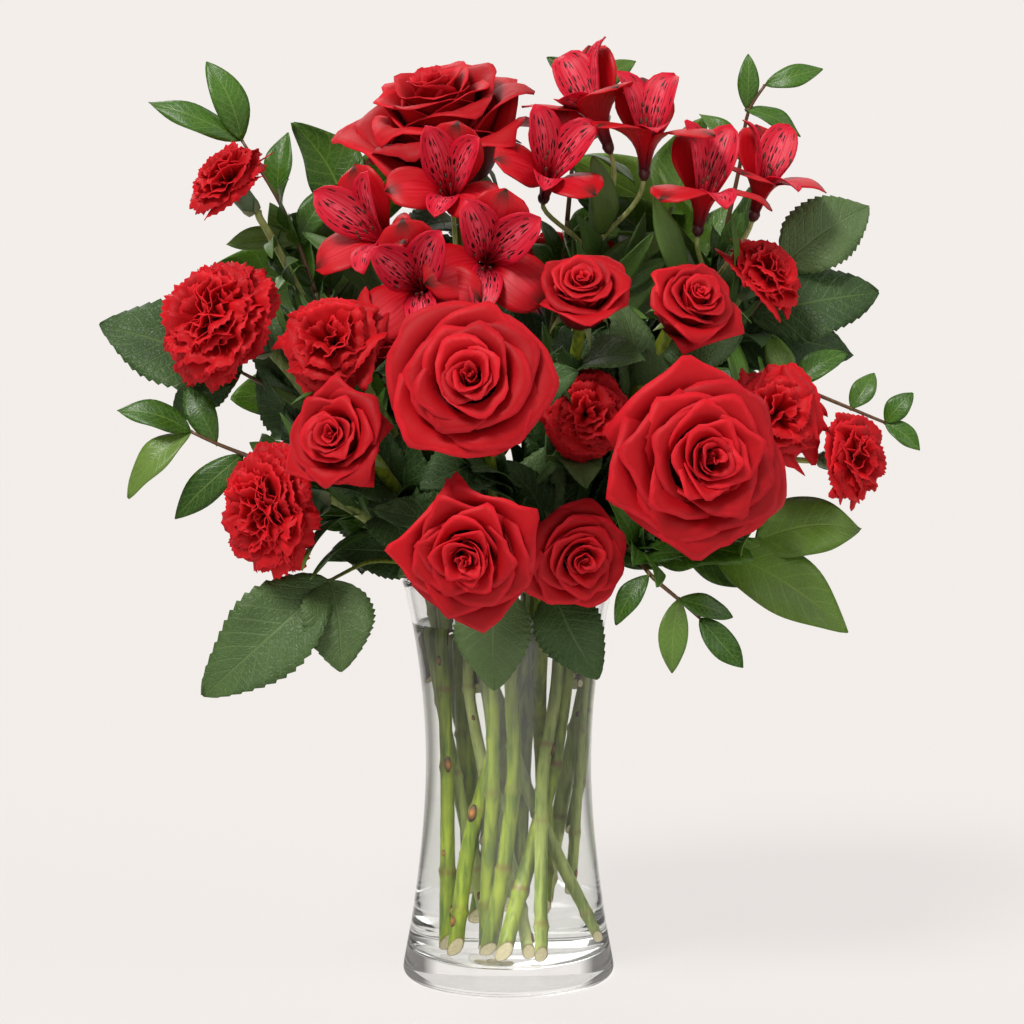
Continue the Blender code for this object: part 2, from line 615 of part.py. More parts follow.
def all_stems():
    stems = []
    for name, centre, facing, diameter, neck, foot, radius in ROSES:
        top = rose_base(centre, facing, diameter)
        stems.append(new_stem(name.replace("rose", "rose_stem"), neck, foot, top, facing, radius))
    for name, centre, facing, diameter, neck, foot, radius in CARNATIONS:
        top = carnation_base(centre, facing, diameter)
        stems.append(new_stem(name.replace("carnation", "carnation_stem"), neck, foot, top, facing, radius))
    stems.append(new_stem("carnation_stem_7", SPRAY_NECK, SPRAY_FOOT, SPRAY_FORK, (0.8, -0.4, 0.4), 2.4))
    for name, fork, facing, neck, foot, radius, _ in UMBELS:
        stems.append(new_stem(name, neck, foot, fork, facing, radius))
    for name, _, fork, facing, neck, foot, radius, _, _ in GREENS:
        stems.append(new_stem(name, neck, foot, fork, facing, radius))
    return stems


def all_obstacles(order):
    """Everything above the vase that a stem has to pass by, with the stem that it belongs to."""
    balls = []
    for name, centre, facing, diameter, _, _, _ in ROSES:
        own = order[name.replace("rose", "rose_stem")]
        base = rose_base(centre, facing, diameter)
        balls += [(own, *b) for b in head_balls(base, centre, facing, diameter, ROSE_DEPTH * diameter)]
        if name in ROSE_LEAVES:
            for leaf in ROSE_LEAVES[name][1]:
                balls += [(own, *b) for b in leaf_balls(*leaf)]
    for entry in CARNATIONS + SPRAY_CARNATIONS:
        name, centre, facing, diameter = entry[:4]
        own = order.get(name.replace("carnation", "carnation_stem"), order["carnation_stem_7"])
        base = carnation_base(centre, facing, diameter)
        balls += [(own, *b) for b in head_balls(base, centre, facing, diameter, RUFF_DEPTH * diameter)]
        if entry in SPRAY_CARNATIONS:
            balls += [(own, *b) for b in line_balls(SPRAY_FORK, base, PEDICEL_RADIUS)]
    for name, fork, _, _, _, _, numbers in UMBELS:
        for number in numbers:
            _, base, facing = FLORETS[number - 1]
            facing = Vector(facing).normalized()
            balls += [(order[name], *b) for b in line_balls(fork, base, PEDICEL_RADIUS)]
            balls += [(order[name], Vector(base) + facing * d, 2 + 0.3 * d) for d in (6, 16, 28, 36)]
        for start, bend, tip, width in STRAP_LEAVES[name]:
            balls += [(order[name], *b) for b in line_balls(start, bend, 2.0)]
            balls += [(order[name], *b) for b in leaf_balls(bend, tip, width)]
    for name, _, _, _, _, _, _, branches, leaves in GREENS:
        for branch in branches:
            for pair in zip(branch, branch[1:]):
                balls += [(order[name], *b) for b in line_balls(*pair, TWIG_RADIUS)]
        for leaf in leaves:
            balls += [(order[name], *b) for b in leaf_balls(*leaf)]
    centres = np.array([tuple(b[1]) for b in balls])
    return centres, np.array([b[2] for b in balls]), np.array([b[0] for b in balls])


def make_rose_stem(stem, head):
    parts = [make_tube(stem["name"] + "_rod", stem["points"], stem["radius"], "rose_stem")]
    if head in ROSE_LEAVES:
        branch, leaves = ROSE_LEAVES[head]
        start = next(tuple(point) for point in stem["points"] if point[2] > NECK_HEIGHT - 6)
        parts.append(make_tube(stem["name"] + "_stalk", [start] + branch, ROSE_BRANCH_RADIUS, "rose_stem"))
        for k, leaf in enumerate(leaves):
            parts.append(make_leaf(f"{stem['name']}_leaf_{k}", *leaf, "serrated_leaf"))
    return fuse(stem["name"], parts)


def make_spray_stem(stem):
    """Forked carnation stem, with a pedicel to each of its two heads."""
    parts = [make_tube(stem["name"] + "_rod", stem["points"], stem["radius"], "carnation_stem")]
    for name, centre, facing, diameter in SPRAY_CARNATIONS:
        base = carnation_base(centre, facing, diameter) - Vector(facing).normalized() * GAP
        bend = base - Vector(facing).normalized() * 9
        route = [tuple(stem["points"][-1]), tuple(bend), tuple(base)]
        parts.append(make_tube(name + "_pedicel", route, 1.7, "carnation_stem"))
    return fuse(stem["name"], parts)


def make_umbel(stem, numbers):
    parts = [make_tube(stem["name"] + "_rod", stem["points"], stem["radius"], "alstroemeria_stem")]
    start = tuple(stem["points"][-1])
    for number in numbers:
        name, base, facing = FLORETS[number - 1]
        facing = Vector(facing).normalized()
        end = Vector(base) - facing * GAP
        route = [start, tuple(end - facing * 7), tuple(end)]
        parts.append(make_tube(name + "_pedicel", route, PEDICEL_RADIUS, "alstroemeria_stem"))
    for k, (_, bend, tip, width) in enumerate(STRAP_LEAVES[stem["name"]]):
        parts.append(make_tube(f"{stem['name']}_stalk_{k}", [start, bend], 1.6, "alstroemeria_stem"))
        parts.append(make_leaf(f"{stem['name']}_leaf_{k}", bend, tip, width, "broad_leaf"))
    return fuse(stem["name"], parts)


def make_greens(stem, kind, branches, leaves):
    finish = kind + "_leaf"
    parts = [make_tube(stem["name"] + "_rod", stem["points"], stem["radius"], finish)]
    for k, branch in enumerate(branches):
        route = [tuple(stem["points"][-1])] + branch[1:]
        parts.append(make_tube(f"{stem['name']}_twig_{k}", route, TWIG_RADIUS, finish))
    for k, leaf in enumerate(leaves):
        parts.append(make_leaf(f"{stem['name']}_leaf_{k}", *leaf, finish))
    return fuse(stem["name"], parts)


def build():
    clear_scene()
    make_vase()
    stems = all_stems()
    order = {stem["name"]: k for k, stem in enumerate(stems)}
    settle(stems, all_obstacles(order))
    make_water(stems)
    for name, centre, facing, diameter, _, _, _ in ROSES:
        make_rose(name, centre, facing, diameter)
        make_rose_stem(stems[order[name.replace("rose", "rose_stem")]], name)
    for name, centre, facing, diameter, _, _, _ in CARNATIONS:
        make_carnation(name, centre, facing, diameter)
        stem = stems[order[name.replace("carnation", "carnation_stem")]]
        make_tube(stem["name"], stem["points"], stem["radius"], "carnation_stem")
    for name, centre, facing, diameter in SPRAY_CARNATIONS:
        make_carnation(name, centre, facing, diameter)
    make_spray_stem(stems[order["carnation_stem_7"]])
    for name, base, facing in FLORETS:
        make_floret(name, base, facing)
    for name, _, _, _, _, _, numbers in UMBELS:
        make_umbel(stems[order[name]], numbers)
    for name, kind, _, _, _, _, _, branches, leaves in GREENS:
        make_greens(stems[order[name]], kind, branches, leaves)


build()
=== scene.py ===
import math
import random

import bmesh
import bpy
import numpy as np
from mathutils import Matrix, Vector


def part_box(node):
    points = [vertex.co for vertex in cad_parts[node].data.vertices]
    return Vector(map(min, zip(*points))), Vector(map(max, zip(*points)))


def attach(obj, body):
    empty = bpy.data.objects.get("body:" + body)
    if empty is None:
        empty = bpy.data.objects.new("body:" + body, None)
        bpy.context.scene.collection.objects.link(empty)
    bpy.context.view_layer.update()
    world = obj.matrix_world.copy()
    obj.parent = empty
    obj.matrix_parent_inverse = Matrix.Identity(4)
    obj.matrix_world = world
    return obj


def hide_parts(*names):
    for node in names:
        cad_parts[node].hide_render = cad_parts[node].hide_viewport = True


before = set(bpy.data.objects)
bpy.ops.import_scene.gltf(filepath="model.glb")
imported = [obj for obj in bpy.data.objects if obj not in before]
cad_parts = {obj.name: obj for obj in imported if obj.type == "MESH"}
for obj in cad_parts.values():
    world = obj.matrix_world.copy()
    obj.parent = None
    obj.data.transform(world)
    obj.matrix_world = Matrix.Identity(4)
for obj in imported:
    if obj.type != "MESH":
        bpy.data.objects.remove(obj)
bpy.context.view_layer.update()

# The studio: one seamless pale floor, a wide soft key from the upper left, a weaker one from the
# right and a pale surround. The camera looks slightly down at the bouquet from two paces away.
MM = 0.001
CAMERA_PLACE = Vector((0.0018, -1.205, 0.312))
LOOKED_AT = Vector((0.0018, 0, 0.237))
FLOOR_REACH = 60.0


def soft_sun(name, place, strength, spread, colour):
    """Even light from one side, as soft as a large diffuser."""
    light = bpy.data.lights.new(name, "SUN")
    light.energy = strength
    light.angle = math.radians(spread)
    light.color = colour
    lamp = bpy.data.objects.new(name, light)
    lamp.rotation_euler = (-Vector(place)).to_track_quat("-Z", "Y").to_euler()
    bpy.context.scene.collection.objects.link(lamp)


soft_sun("key_light", (-0.9, -1.3, 1.7), 2.8, 20, (1.0, 0.985, 0.97))
soft_sun("side_light", (1.6, -0.9, 0.9), 0.7, 40, (1.0, 0.99, 0.98))
soft_sun("back_light", (-0.7, 1.5, 1.3), 0.8, 40, (1.0, 1.0, 1.0))

camera = bpy.data.cameras.new("studio_camera")
camera.lens = 83.5
camera.sensor_width = 36
camera_stand = bpy.data.objects.new("studio_camera", camera)
camera_stand.location = CAMERA_PLACE
camera_stand.rotation_euler = (LOOKED_AT - CAMERA_PLACE).to_track_quat("-Z", "Y").to_euler()
bpy.context.scene.collection.objects.link(camera_stand)
bpy.context.scene.camera = camera_stand
bpy.context.scene.view_settings.view_transform = "Standard"

# The surround is bright where it is seen, in the glass too, and dimmer as light on the flowers. To
# either side it darkens into a grey panel, which draws the edges of the glass.
PALE = (0.896, 0.855, 0.823, 1)
PANEL_GREY = (0.20, 0.19, 0.18, 1)
DIM_LIGHT = 0.28


def new_group(name, inputs, outputs):
    """Empty shader node group with named sockets: its tree, its inputs and its outputs."""
    group = bpy.data.node_groups.new(name, "ShaderNodeTree")
    for label, kind in inputs.items():
        group.interface.new_socket(label, in_out="INPUT", socket_type=f"NodeSocket{kind}")
    for label, kind in outputs.items():
        group.interface.new_socket(label, in_out="OUTPUT", socket_type=f"NodeSocket{kind}")
    return group, group.nodes.new("NodeGroupInput").outputs, group.nodes.new("NodeGroupOutput").inputs


def use_group(tree, group, **values):
    """Node of a group, with its constant or linked inputs set. Gives its outputs."""
    node = tree.nodes.new("ShaderNodeGroup")
    node.node_tree = group
    for label, value in values.items():
        feed(tree, value, node.inputs[label])
    return node.outputs


def feed(tree, value, socket):
    """Links an output to a socket, or sets the socket to a constant."""
    if isinstance(value, bpy.types.NodeSocket):
        tree.links.new(value, socket)
    else:
        socket.default_value = value


def add_node(tree, kind, inputs, output=0, **settings):
    """Adds a node with its settings and its inputs, which are constants or links. Gives an output."""
    node = tree.nodes.new(f"ShaderNode{kind}")
    for label, value in settings.items():
        setattr(node, label, value)
    for socket, value in inputs.items():
        feed(tree, value, node.inputs[socket])
    return node.outputs[output]


def ramp_node(tree, factor, stops):
    """Colour ramp through two (position, colour) stops."""
    colour = add_node(tree, "ValToRGB", {"Fac": factor}, "Color")
    for element, (position, shade) in zip(colour.node.color_ramp.elements, stops):
        element.position = position
        element.color = shade
    return colour


def mix_node(tree, factor, first, second):
    """Blend of two colours, each a colour or an output."""
    return add_node(tree, "Mix", {0: factor, 6: first, 7: second}, 2, data_type="RGBA")


def math_node(tree, kind, first, second=0.5):
    return add_node(tree, "Math", {0: first, 1: second}, operation=kind)


def product(tree, first, *others):
    for other in others:
        first = math_node(tree, "MULTIPLY", first, other)
    return first


def axes_node(tree, vector):
    return add_node(tree, "SeparateXYZ", {"Vector": vector}).node.outputs


def coordinates_node(tree, which="Object"):
    return add_node(tree, "TexCoord", {}, which)


side_panels, given, result = new_group("side_panels", {"Way": "Vector"}, {"Colour": "Color"})
unit = add_node(side_panels, "VectorMath", {0: given["Way"]}, "Vector", operation="NORMALIZE")
sideways = math_node(side_panels, "ABSOLUTE", axes_node(side_panels, unit)["X"])
shade = ramp_node(side_panels, sideways, [(0.50, PALE), (0.66, PANEL_GREY)])
side_panels.links.new(shade, result["Colour"])

surround = bpy.data.worlds.new("pale_surround")
surround.use_nodes = True
sky = surround.node_tree
seen = sky.nodes["Background"]
panels = use_group(sky, side_panels, Way=coordinates_node(sky, "Generated"))
sky.links.new(panels["Colour"], seen.inputs["Color"])
dim = add_node(sky, "Background", {"Color": (0.95, 0.97, 1.0, 1), "Strength": DIM_LIGHT})
on_flowers = add_node(sky, "LightPath", {}, "Is Diffuse Ray")
both = add_node(sky, "MixShader", {"Fac": on_flowers, 1: seen.outputs["Background"], 2: dim})
sky.links.new(both, sky.nodes["World Output"].inputs["Surface"])
bpy.context.scene.world = surround


def new_material(name, **values):
    """Principled material with its constant sockets set, and its node tree and shader for more."""
    made = bpy.data.materials.new(name)
    made.use_nodes = True
    tree = made.node_tree
    shader = tree.nodes["Principled BSDF"]
    for socket, value in values.items():
        shader.inputs[socket.replace("_", " ")].default_value = value
    return made, tree, shader


paper, tree, shader = new_material(
    "floor_paper", Base_Color=(0.15, 0.143, 0.138, 1), Roughness=1.0, Specular_IOR_Level=0.0,
    Emission_Strength=0.80,
)
rays = tree.nodes.new("ShaderNodeLightPath").outputs
through = math_node(tree, "MAXIMUM", rays["Is Transmission Ray"], rays["Is Glossy Ray"])
panels = use_group(tree, side_panels, Way=coordinates_node(tree))
tree.links.new(mix_node(tree, through, PALE, panels["Colour"]), shader.inputs["Emission Color"])
floor_bm = bmesh.new()
bmesh.ops.create_circle(floor_bm, cap_ends=True, radius=FLOOR_REACH, segments=96)
floor_mesh = bpy.data.meshes.new("floor")
floor_bm.to_mesh(floor_mesh)
floor_bm.free()
floor_mesh.materials.append(paper)
floor = bpy.data.objects.new("floor", floor_mesh)
bpy.context.scene.collection.objects.link(floor)

# The vase: clear glass blown in one piece, with a thick floor that gathers the light, a narrow
# waist and a flared, fire-polished rim. It stands on the rounded edge of its foot.
vase_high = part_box("glass_vase")[1]
VASE_HEIGHT = vase_high.z / MM
FOOT_RADIUS = vase_high.x / MM
WAIST_RADIUS = 42.3
WAIST_HEIGHT = 108.0
RIM_RADIUS = 54.0
WALL = 3.0
VASE_FLOOR = 12.0
HOLLOW_ROUND = 9.0  # radius of the corner between the wall and the floor inside
FOOT_ROUND = 4.0
FOOT_RING = 0.7  # how far the ring that it stands on reaches below its underside
PROFILE_STEP = 6
ROUND_STEPS = 96


def glass_radius(z):
    """Radius of the vase's outside: wide foot, narrow waist, flared rim."""
    if z < WAIST_HEIGHT:
        return WAIST_RADIUS + (FOOT_RADIUS - WAIST_RADIUS) * ((WAIST_HEIGHT - z) / WAIST_HEIGHT) ** 1.7
    rise = (z - WAIST_HEIGHT) / (VASE_HEIGHT - WAIST_HEIGHT)
    return WAIST_RADIUS + (RIM_RADIUS - WAIST_RADIUS) * rise**2


def arc(centre, radius, start, end, steps):
    """Points (radius, height) of an arc of a turned profile, with its angles in degrees."""
    turns = [math.radians(start + (end - start) * k / steps) for k in range(steps + 1)]
    return [(centre[0] + radius * math.cos(a), centre[1] + radius * math.sin(a)) for a in turns]


def revolve(profile):
    """Closed turned body from (radius, height) points that start and end on the axis."""
    bm = bmesh.new()
    verts = [bm.verts.new((max(r, 0), 0, z)) for r, z in profile]
    edges = [bm.edges.new(pair) for pair in zip(verts, verts[1:])]
    bmesh.ops.spin(
        bm, geom=verts + edges, axis=(0, 0, 1), cent=(0, 0, 0), steps=ROUND_STEPS, angle=math.tau,
        use_merge=True,
    )
    bmesh.ops.remove_doubles(bm, verts=bm.verts, dist=0.001)
    bmesh.ops.recalc_face_normals(bm, faces=bm.faces)
    return bm


def place_piece(name, bm, materials, slot, *nodes, stand=None, shell=0.0):
    """Turns a bmesh in millimetres into a smooth piece in metres that rides on the bouquet.

    stand puts a flower made along +Z in its place, and shell is the thickness of petals and blades.
    """
    if stand is not None:
        bmesh.ops.transform(bm, matrix=stand, verts=bm.verts)
    bmesh.ops.scale(bm, vec=(MM, MM, MM), verts=bm.verts)
    mesh = bpy.data.meshes.new(name)
    bm.to_mesh(mesh)
    bm.free()
    mesh.shade_smooth()
    for finish in materials:
        mesh.materials.append(finish)
    piece = bpy.data.objects.new(name, mesh)
    bpy.context.scene.collection.objects.link(piece)
    if shell:
        thicken = piece.modifiers.new("shell", "SOLIDIFY")
        thicken.thickness = shell * MM
        thicken.offset = 0.0
    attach(piece, "root")
    if nodes:
        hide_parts(*nodes)


def clear_liquid(name, colour, ior, tint):
    """Clear refracting material that lets light through to what it holds."""
    made, tree, shader = new_material(
        name, Base_Color=colour, Roughness=0.0, IOR=ior, Transmission_Weight=1.0
    )
    through = add_node(tree, "BsdfTransparent", {"Color": tint})
    in_shadow = add_node(tree, "LightPath", {}, "Is Shadow Ray")
    mix = add_node(tree, "MixShader", {"Fac": in_shadow, 1: shader.outputs["BSDF"], 2: through})
    tree.links.new(mix, tree.nodes["Material Output"].inputs["Surface"])
    return made


clear_glass = clear_liquid("clear_glass", (0.985, 0.99, 0.985, 1), 1.50, (0.93, 0.94, 0.94, 1))
profile = [(0, FOOT_RING), (FOOT_RADIUS - 14, FOOT_RING)]
profile += arc((FOOT_RADIUS - 8, 0.6), 0.6, 180, 270, 3)
profile += arc((glass_radius(FOOT_ROUND) - FOOT_ROUND - 0.2, FOOT_ROUND), FOOT_ROUND, -90, 0, 6)
profile += [(glass_radius(z), z) for z in range(7, 200, PROFILE_STEP)]
profile += arc((RIM_RADIUS - WALL / 2, VASE_HEIGHT - WALL / 2), WALL / 2, 0, 180, 8)
profile += [(glass_radius(z) - WALL, z) for z in range(199, 22, -PROFILE_STEP)]
hollow_corner = (glass_radius(20) - WALL - HOLLOW_ROUND, VASE_FLOOR + HOLLOW_ROUND)
profile += arc(hollow_corner, HOLLOW_ROUND, 0, -90, 6)
profile += [(20, VASE_FLOOR - 0.6), (0, VASE_FLOOR - 1)]
place_piece("vase_glass", revolve(profile), [clear_glass], "clear_glass", "glass_vase")

# The water: it fills the vase to a little under the rim and climbs the glass in a thin meniscus.
# It wets the glass all round, so its skin lies just inside the wall and no air shows between them.
WATER_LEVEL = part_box("water")[1].z / MM
WET = 0.4
clear_water = clear_liquid("clear_water", (0.985, 0.995, 0.985, 1), 1.33, (0.97, 0.98, 0.97, 1))
water_edge = glass_radius(WATER_LEVEL) - WALL
profile = [(0, VASE_FLOOR - 1 - WET), (20, VASE_FLOOR - 0.6 - WET)]
profile += arc(hollow_corner, HOLLOW_ROUND + WET, -90, 0, 6)
profile += [(glass_radius(z) - WALL + WET, z) for z in range(24, int(WATER_LEVEL), PROFILE_STEP)]
meniscus = [(WET, 1.6), (-0.3, 1.5), (-1.0, 0.6), (-2.4, 0.1), (-5, 0)]
profile += [(water_edge + inward, WATER_LEVEL + climb) for inward, climb in meniscus]
place_piece("water_fill", revolve(profile + [(0, WATER_LEVEL)]), [clear_water], "water", "water")


# The rose stems: green canes cut from the bush, stripped of thorns and low leaves, so they carry
# node rings and brown scars. Each is cut at a slant, which shows its pale pith in a brown rim.
STEM_STEP = 7.0  # distance between the slices that a stem's line is found from
STEMS_MEET = 190.0  # height at which the stems come together in the vase's mouth
RING_HEIGHT = 0.24  # swelling of a node as a share of the stem's radius
CUT_SLANT = 3.0  # how far the front of the foot is cut back, as a multiple of the stem's radius
CUT_REACH = 4.5  # how far up the rind the cut is felt, as a multiple of the stem's radius
SCARS_PER_STEP = 0.022
PITH, EYE = 1, 2  # places of their materials on a stem
RING_LENGTH = 2.0
LINE_RISE, LINE_LENGTH = 1.6, 1.3  # of the brown line just above each ring
BARE_END = 12.0  # length of a stem under its head that has no ring
STEM_DETAIL = 2.4  # length of one row of a stem's skin
WOBBLE = 0.03  # unevenness of a stem as a share of its radius
CUT_BACK = Vector((0.3, -0.95, 0))  # side of the foot that the knife came in from


def corner_points(node):
    """Distinct vertices of a CAD node, in millimetres."""
    points = np.array([vert.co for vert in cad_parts[node].data.vertices]) / MM
    return np.unique(np.round(points, 3), axis=0)


def edge_points(node):
    """Both ends of every triangle side of a CAD node, in millimetres."""
    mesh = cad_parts[node].data
    points = np.array([vert.co for vert in mesh.vertices]) / MM
    pairs = np.array([edge.vertices[:] for edge in mesh.edges])
    return points[pairs[:, 0]], points[pairs[:, 1]]


def centreline(node, radius, end=None):
    """Middle of a CAD stem from its foot up, found by slicing it square to its own direction."""
    corners = corner_points(node)
    lowest = corners[np.argmin(corners[:, 2])]
    place = corners[np.linalg.norm(corners - lowest, axis=1) < 2.4 * radius].mean(axis=0)
    heading = np.array([0, 0, STEMS_MEET]) - place
    heading /= np.linalg.norm(heading)
    low, high = edge_points(node)
    line = [place]
    step = STEM_STEP
    while step > 0.4 and (end is None or np.linalg.norm(line[-1] - end) > step):
        level = line[-1] + heading * step
        a, b = (low - level) @ heading, (high - level) @ heading
        cut = a * b < 0
        cross = low[cut] + (high - low)[cut] * (a / (a - b))[cut][:, None]
        cross = cross[np.linalg.norm(cross - level, axis=1) < 1.7 * radius]
        if len(cross) < 3:
            step /= 2
            continue
        middle = 0.5 * (cross.min(axis=0) + cross.max(axis=0))
        turn = (middle - line[-1]) / np.linalg.norm(middle - line[-1])
        heading = 0.5 * heading + 0.5 * turn
        heading /= np.linalg.norm(heading)
        line.append(middle)
    if end is not None:
        line.append(np.array(end, float))
    return smooth_line(np.array(line))


def smooth_line(line, rounds=3):
    for _ in range(rounds):
        line[1:-1] = 0.25 * line[:-2] + 0.5 * line[1:-1] + 0.25 * line[2:]
    return line


def sweep(start, start_heading, end, end_heading, count=10):
    """Points of one smooth bend from start to end that leaves and arrives in the given directions."""
    start, end = Vector(start), Vector(end)
    reach = (end - start).length
    leave, arrive = Vector(start_heading).normalized() * reach, Vector(end_heading).normalized() * reach
    line = []
    for k in range(count + 1):
        t = k / count
        line.append(
            start * (2 * t**3 - 3 * t**2 + 1) + leave * (t**3 - 2 * t**2 + t)
            + end * (3 * t**2 - 2 * t**3) + arrive * (t**3 - t**2)
        )
    return np.array([tuple(p) for p in line])


def finer(line, step):
    """The same line with points about a step apart."""
    lengths = np.concatenate([[0], np.cumsum(np.linalg.norm(np.diff(line, axis=0), axis=1))])
    places = np.linspace(0, lengths[-1], max(3, int(lengths[-1] / step) + 1))
    return np.array([[np.interp(s, lengths, line[:, axis]) for axis in range(3)] for s in places]), places


def skin_layers(bm):
    """A bmesh's mark, which shades its skin from place to place, and its UV map."""
    marks = bm.verts.layers.float.get("mark") or bm.verts.layers.float.new("mark")
    return marks, bm.loops.layers.uv.get("UVMap") or bm.loops.layers.uv.new("UVMap")


def paint_faces(verts, finish):
    """Gives the faces round some vertices one of the piece's materials. Gives the faces."""
    faces = list(dict.fromkeys(face for vert in verts for face in vert.link_faces))
    for face in faces:
        face.material_index = finish
    return faces


def grow_tube(bm, line, radii, sides=8, mark=None, finish=0, cut=False):
    """Closed round rod along a line, from a grid that is rolled up. mark shades it along its length.

    Where it is cut, its foot slants, and the end shows the pith in a rim of rind.
    """
    marks, uvs = skin_layers(bm)
    rows = len(line)
    grid = bmesh.ops.create_grid(bm, x_segments=sides, y_segments=rows - 1, size=1, calc_uvs=True)["verts"]
    ahead = Vector(line[1] - line[0]).normalized()
    side = ahead.orthogonal().normalized()
    frames = []
    for k in range(rows):
        run = Vector(line[min(k + 1, rows - 1)] - line[max(k - 1, 0)]).normalized()
        side = (side - run * side.dot(run)).normalized()
        frames.append((Vector(line[k]), side, run.cross(side)))
    for vert in grid:
        turn, row = 0.5 * (vert.co.x + 1) * math.tau, round(0.5 * (vert.co.y + 1) * (rows - 1))
        middle, right, front = frames[row]
        spoke = right * math.cos(turn) + front * math.sin(turn)
        vert.co = middle + spoke * radii[row]
        vert[marks] = 0.0 if mark is None else mark[row]
        if cut:
            near = max(0.0, 1 - (middle - frames[0][0]).length / (CUT_REACH * radii[0]))
            vert.co += ahead * (near * CUT_SLANT * radii[0] * (1 + spoke.dot(CUT_BACK)) * 0.5)
    faces = paint_faces(grid, finish)
    bmesh.ops.remove_doubles(bm, verts=grid, dist=0.0005)
    faces = [face for face in faces if face.is_valid]
    rim = dict.fromkeys(edge for face in faces for edge in face.edges if edge.is_boundary)
    caps = bmesh.ops.holes_fill(bm, edges=list(rim), sides=0)["faces"]
    for cap in caps:
        cap.material_index = finish
        for loop in cap.loops:
            loop[uvs].uv = (0.5, 0.0)
        if cut and (cap.calc_center_median() - Vector(line[0])).length < 3 * max(radii):
            cap.material_index = PITH
            bmesh.ops.inset_individual(bm, faces=[cap], thickness=0.2 * radii[0], use_even_offset=True)
            for vert in cap.verts:
                vert[marks] = 0.0
    bmesh.ops.recalc_face_normals(bm, faces=faces + caps)


def noise_node(tree, coordinates, scale):
    return add_node(tree, "TexNoise", {"Vector": coordinates, "Scale": scale, "Detail": 3.0}, "Fac")


def between(tree, value, low, high):
    """Share of the way from low to high, kept from 0 to 1."""
    return add_node(tree, "MapRange", {"Value": value, "From Min": low, "From Max": high}, "Result")


def stretched(tree, vector, scale):
    return add_node(tree, "Mapping", {"Vector": vector, "Scale": scale}, "Vector")


def mark_node(tree):
    return add_node(tree, "Attribute", {}, "Fac", attribute_name="mark")


def finish_skin(group, result, colour, height, strength, distance):
    """Ends a group in its colour and in the normal of its relief."""
    relief = {"Height": height, "Strength": strength, "Distance": distance}
    group.links.new(colour, result["Colour"])
    group.links.new(add_node(group, "Bump", relief, "Normal"), result["Normal"])


def skin_material(name, group, shading, **values):
    """Principled material that takes its colour and normal from a node group."""
    made, tree, shader = new_material(name, **shading)
    skin = use_group(tree, group, **values)
    tree.links.new(skin["Colour"], shader.inputs["Base Color"])
    tree.links.new(skin["Normal"], shader.inputs["Normal"])
    return made


# green rind with long pale streaks, blotches, and brown where mark is high
SKIN = {"Colour": "Color", "Normal": "Vector"}
rind, given, result = new_group("rind", {"Dark": "Color", "Light": "Color", "Scar": "Color"}, SKIN)
place = coordinates_node(rind)
streaks = noise_node(rind, stretched(rind, place, (1, 1, 0.10)), 420)
blotches = between(rind, noise_node(rind, place, 40), 0.3, 0.7)
pale_streaks = product(rind, between(rind, streaks, 0.50, 0.66), 0.75)
dark_streaks = product(rind, between(rind, streaks, 0.46, 0.34), 0.65)
green = mix_node(rind, blotches, given["Dark"], given["Light"])
green = mix_node(rind, pale_streaks, green, given["Light"])
green = mix_node(rind, dark_streaks, green, given["Dark"])
green = mix_node(rind, mark_node(rind), green, given["Scar"])
finish_skin(rind, result, green, streaks, 0.3, 0.0006)
WAXY = {"Roughness": 0.42, "Sheen_Weight": 0.05}


def stem_material(name, dark, light, scar):
    return skin_material(name, rind, WAXY, Dark=dark, Light=light, Scar=scar)


cane_rind = stem_material(
    "cane_rind", (0.045, 0.095, 0.003, 1), (0.30, 0.37, 0.020, 1), (0.16, 0.065, 0.015, 1)
)
pith, tree, shader = new_material("cut_pith", Roughness=0.7)
fibres = between(tree, noise_node(tree, coordinates_node(tree), 900), 0.3, 0.7)
pale = mix_node(tree, fibres, (0.72, 0.60, 0.30, 1), (0.92, 0.85, 0.58, 1))
pith_colour = mix_node(tree, mark_node(tree), pale, (0.12, 0.05, 0.015, 1))
tree.links.new(pith_colour, shader.inputs["Base Color"])
eye_brown, tree, shader = new_material("eye_brown", Roughness=0.6)
eye_colour = mix_node(tree, mark_node(tree), (0.035, 0.012, 0.006, 1), (0.50, 0.20, 0.03, 1))
tree.links.new(eye_colour, shader.inputs["Base Color"])


def grow_stem(bm, line, radius, rng, nodes_apart=55, sides=12, taper=0.85, cut=True):
    """Stem with swollen node rings, each with a brown line, cut at a slant at its foot."""
    fine, places = finer(line, STEM_DETAIL)
    length = places[-1]
    radii = np.full(len(fine), radius) * (1 - (1 - taper) * places / length)
    mark = np.zeros(len(fine))
    place = rng.uniform(0.3, 0.9) * nodes_apart
    while place < length - BARE_END:
        bulge = np.exp(-(((places - place) / RING_LENGTH) ** 2))
        radii += radius * RING_HEIGHT * bulge
        brown_line = np.exp(-(((places - place - LINE_RISE) / LINE_LENGTH) ** 2))
        mark = np.maximum(mark, rng.uniform(0.35, 0.95) * brown_line)
        place += nodes_apart * rng.uniform(0.7, 1.3)
    mark = np.maximum(mark, 0.7 * np.exp(-places / 1.2))
    fine += np.array([[rng.uniform(-1, 1) for _ in range(3)] for _ in fine]) * WOBBLE * radius
    line = smooth_line(fine, 1)
    grow_tube(bm, line, radii, sides, mark, cut=cut)
    if cut:
        grow_scars(bm, line, radii, rng)


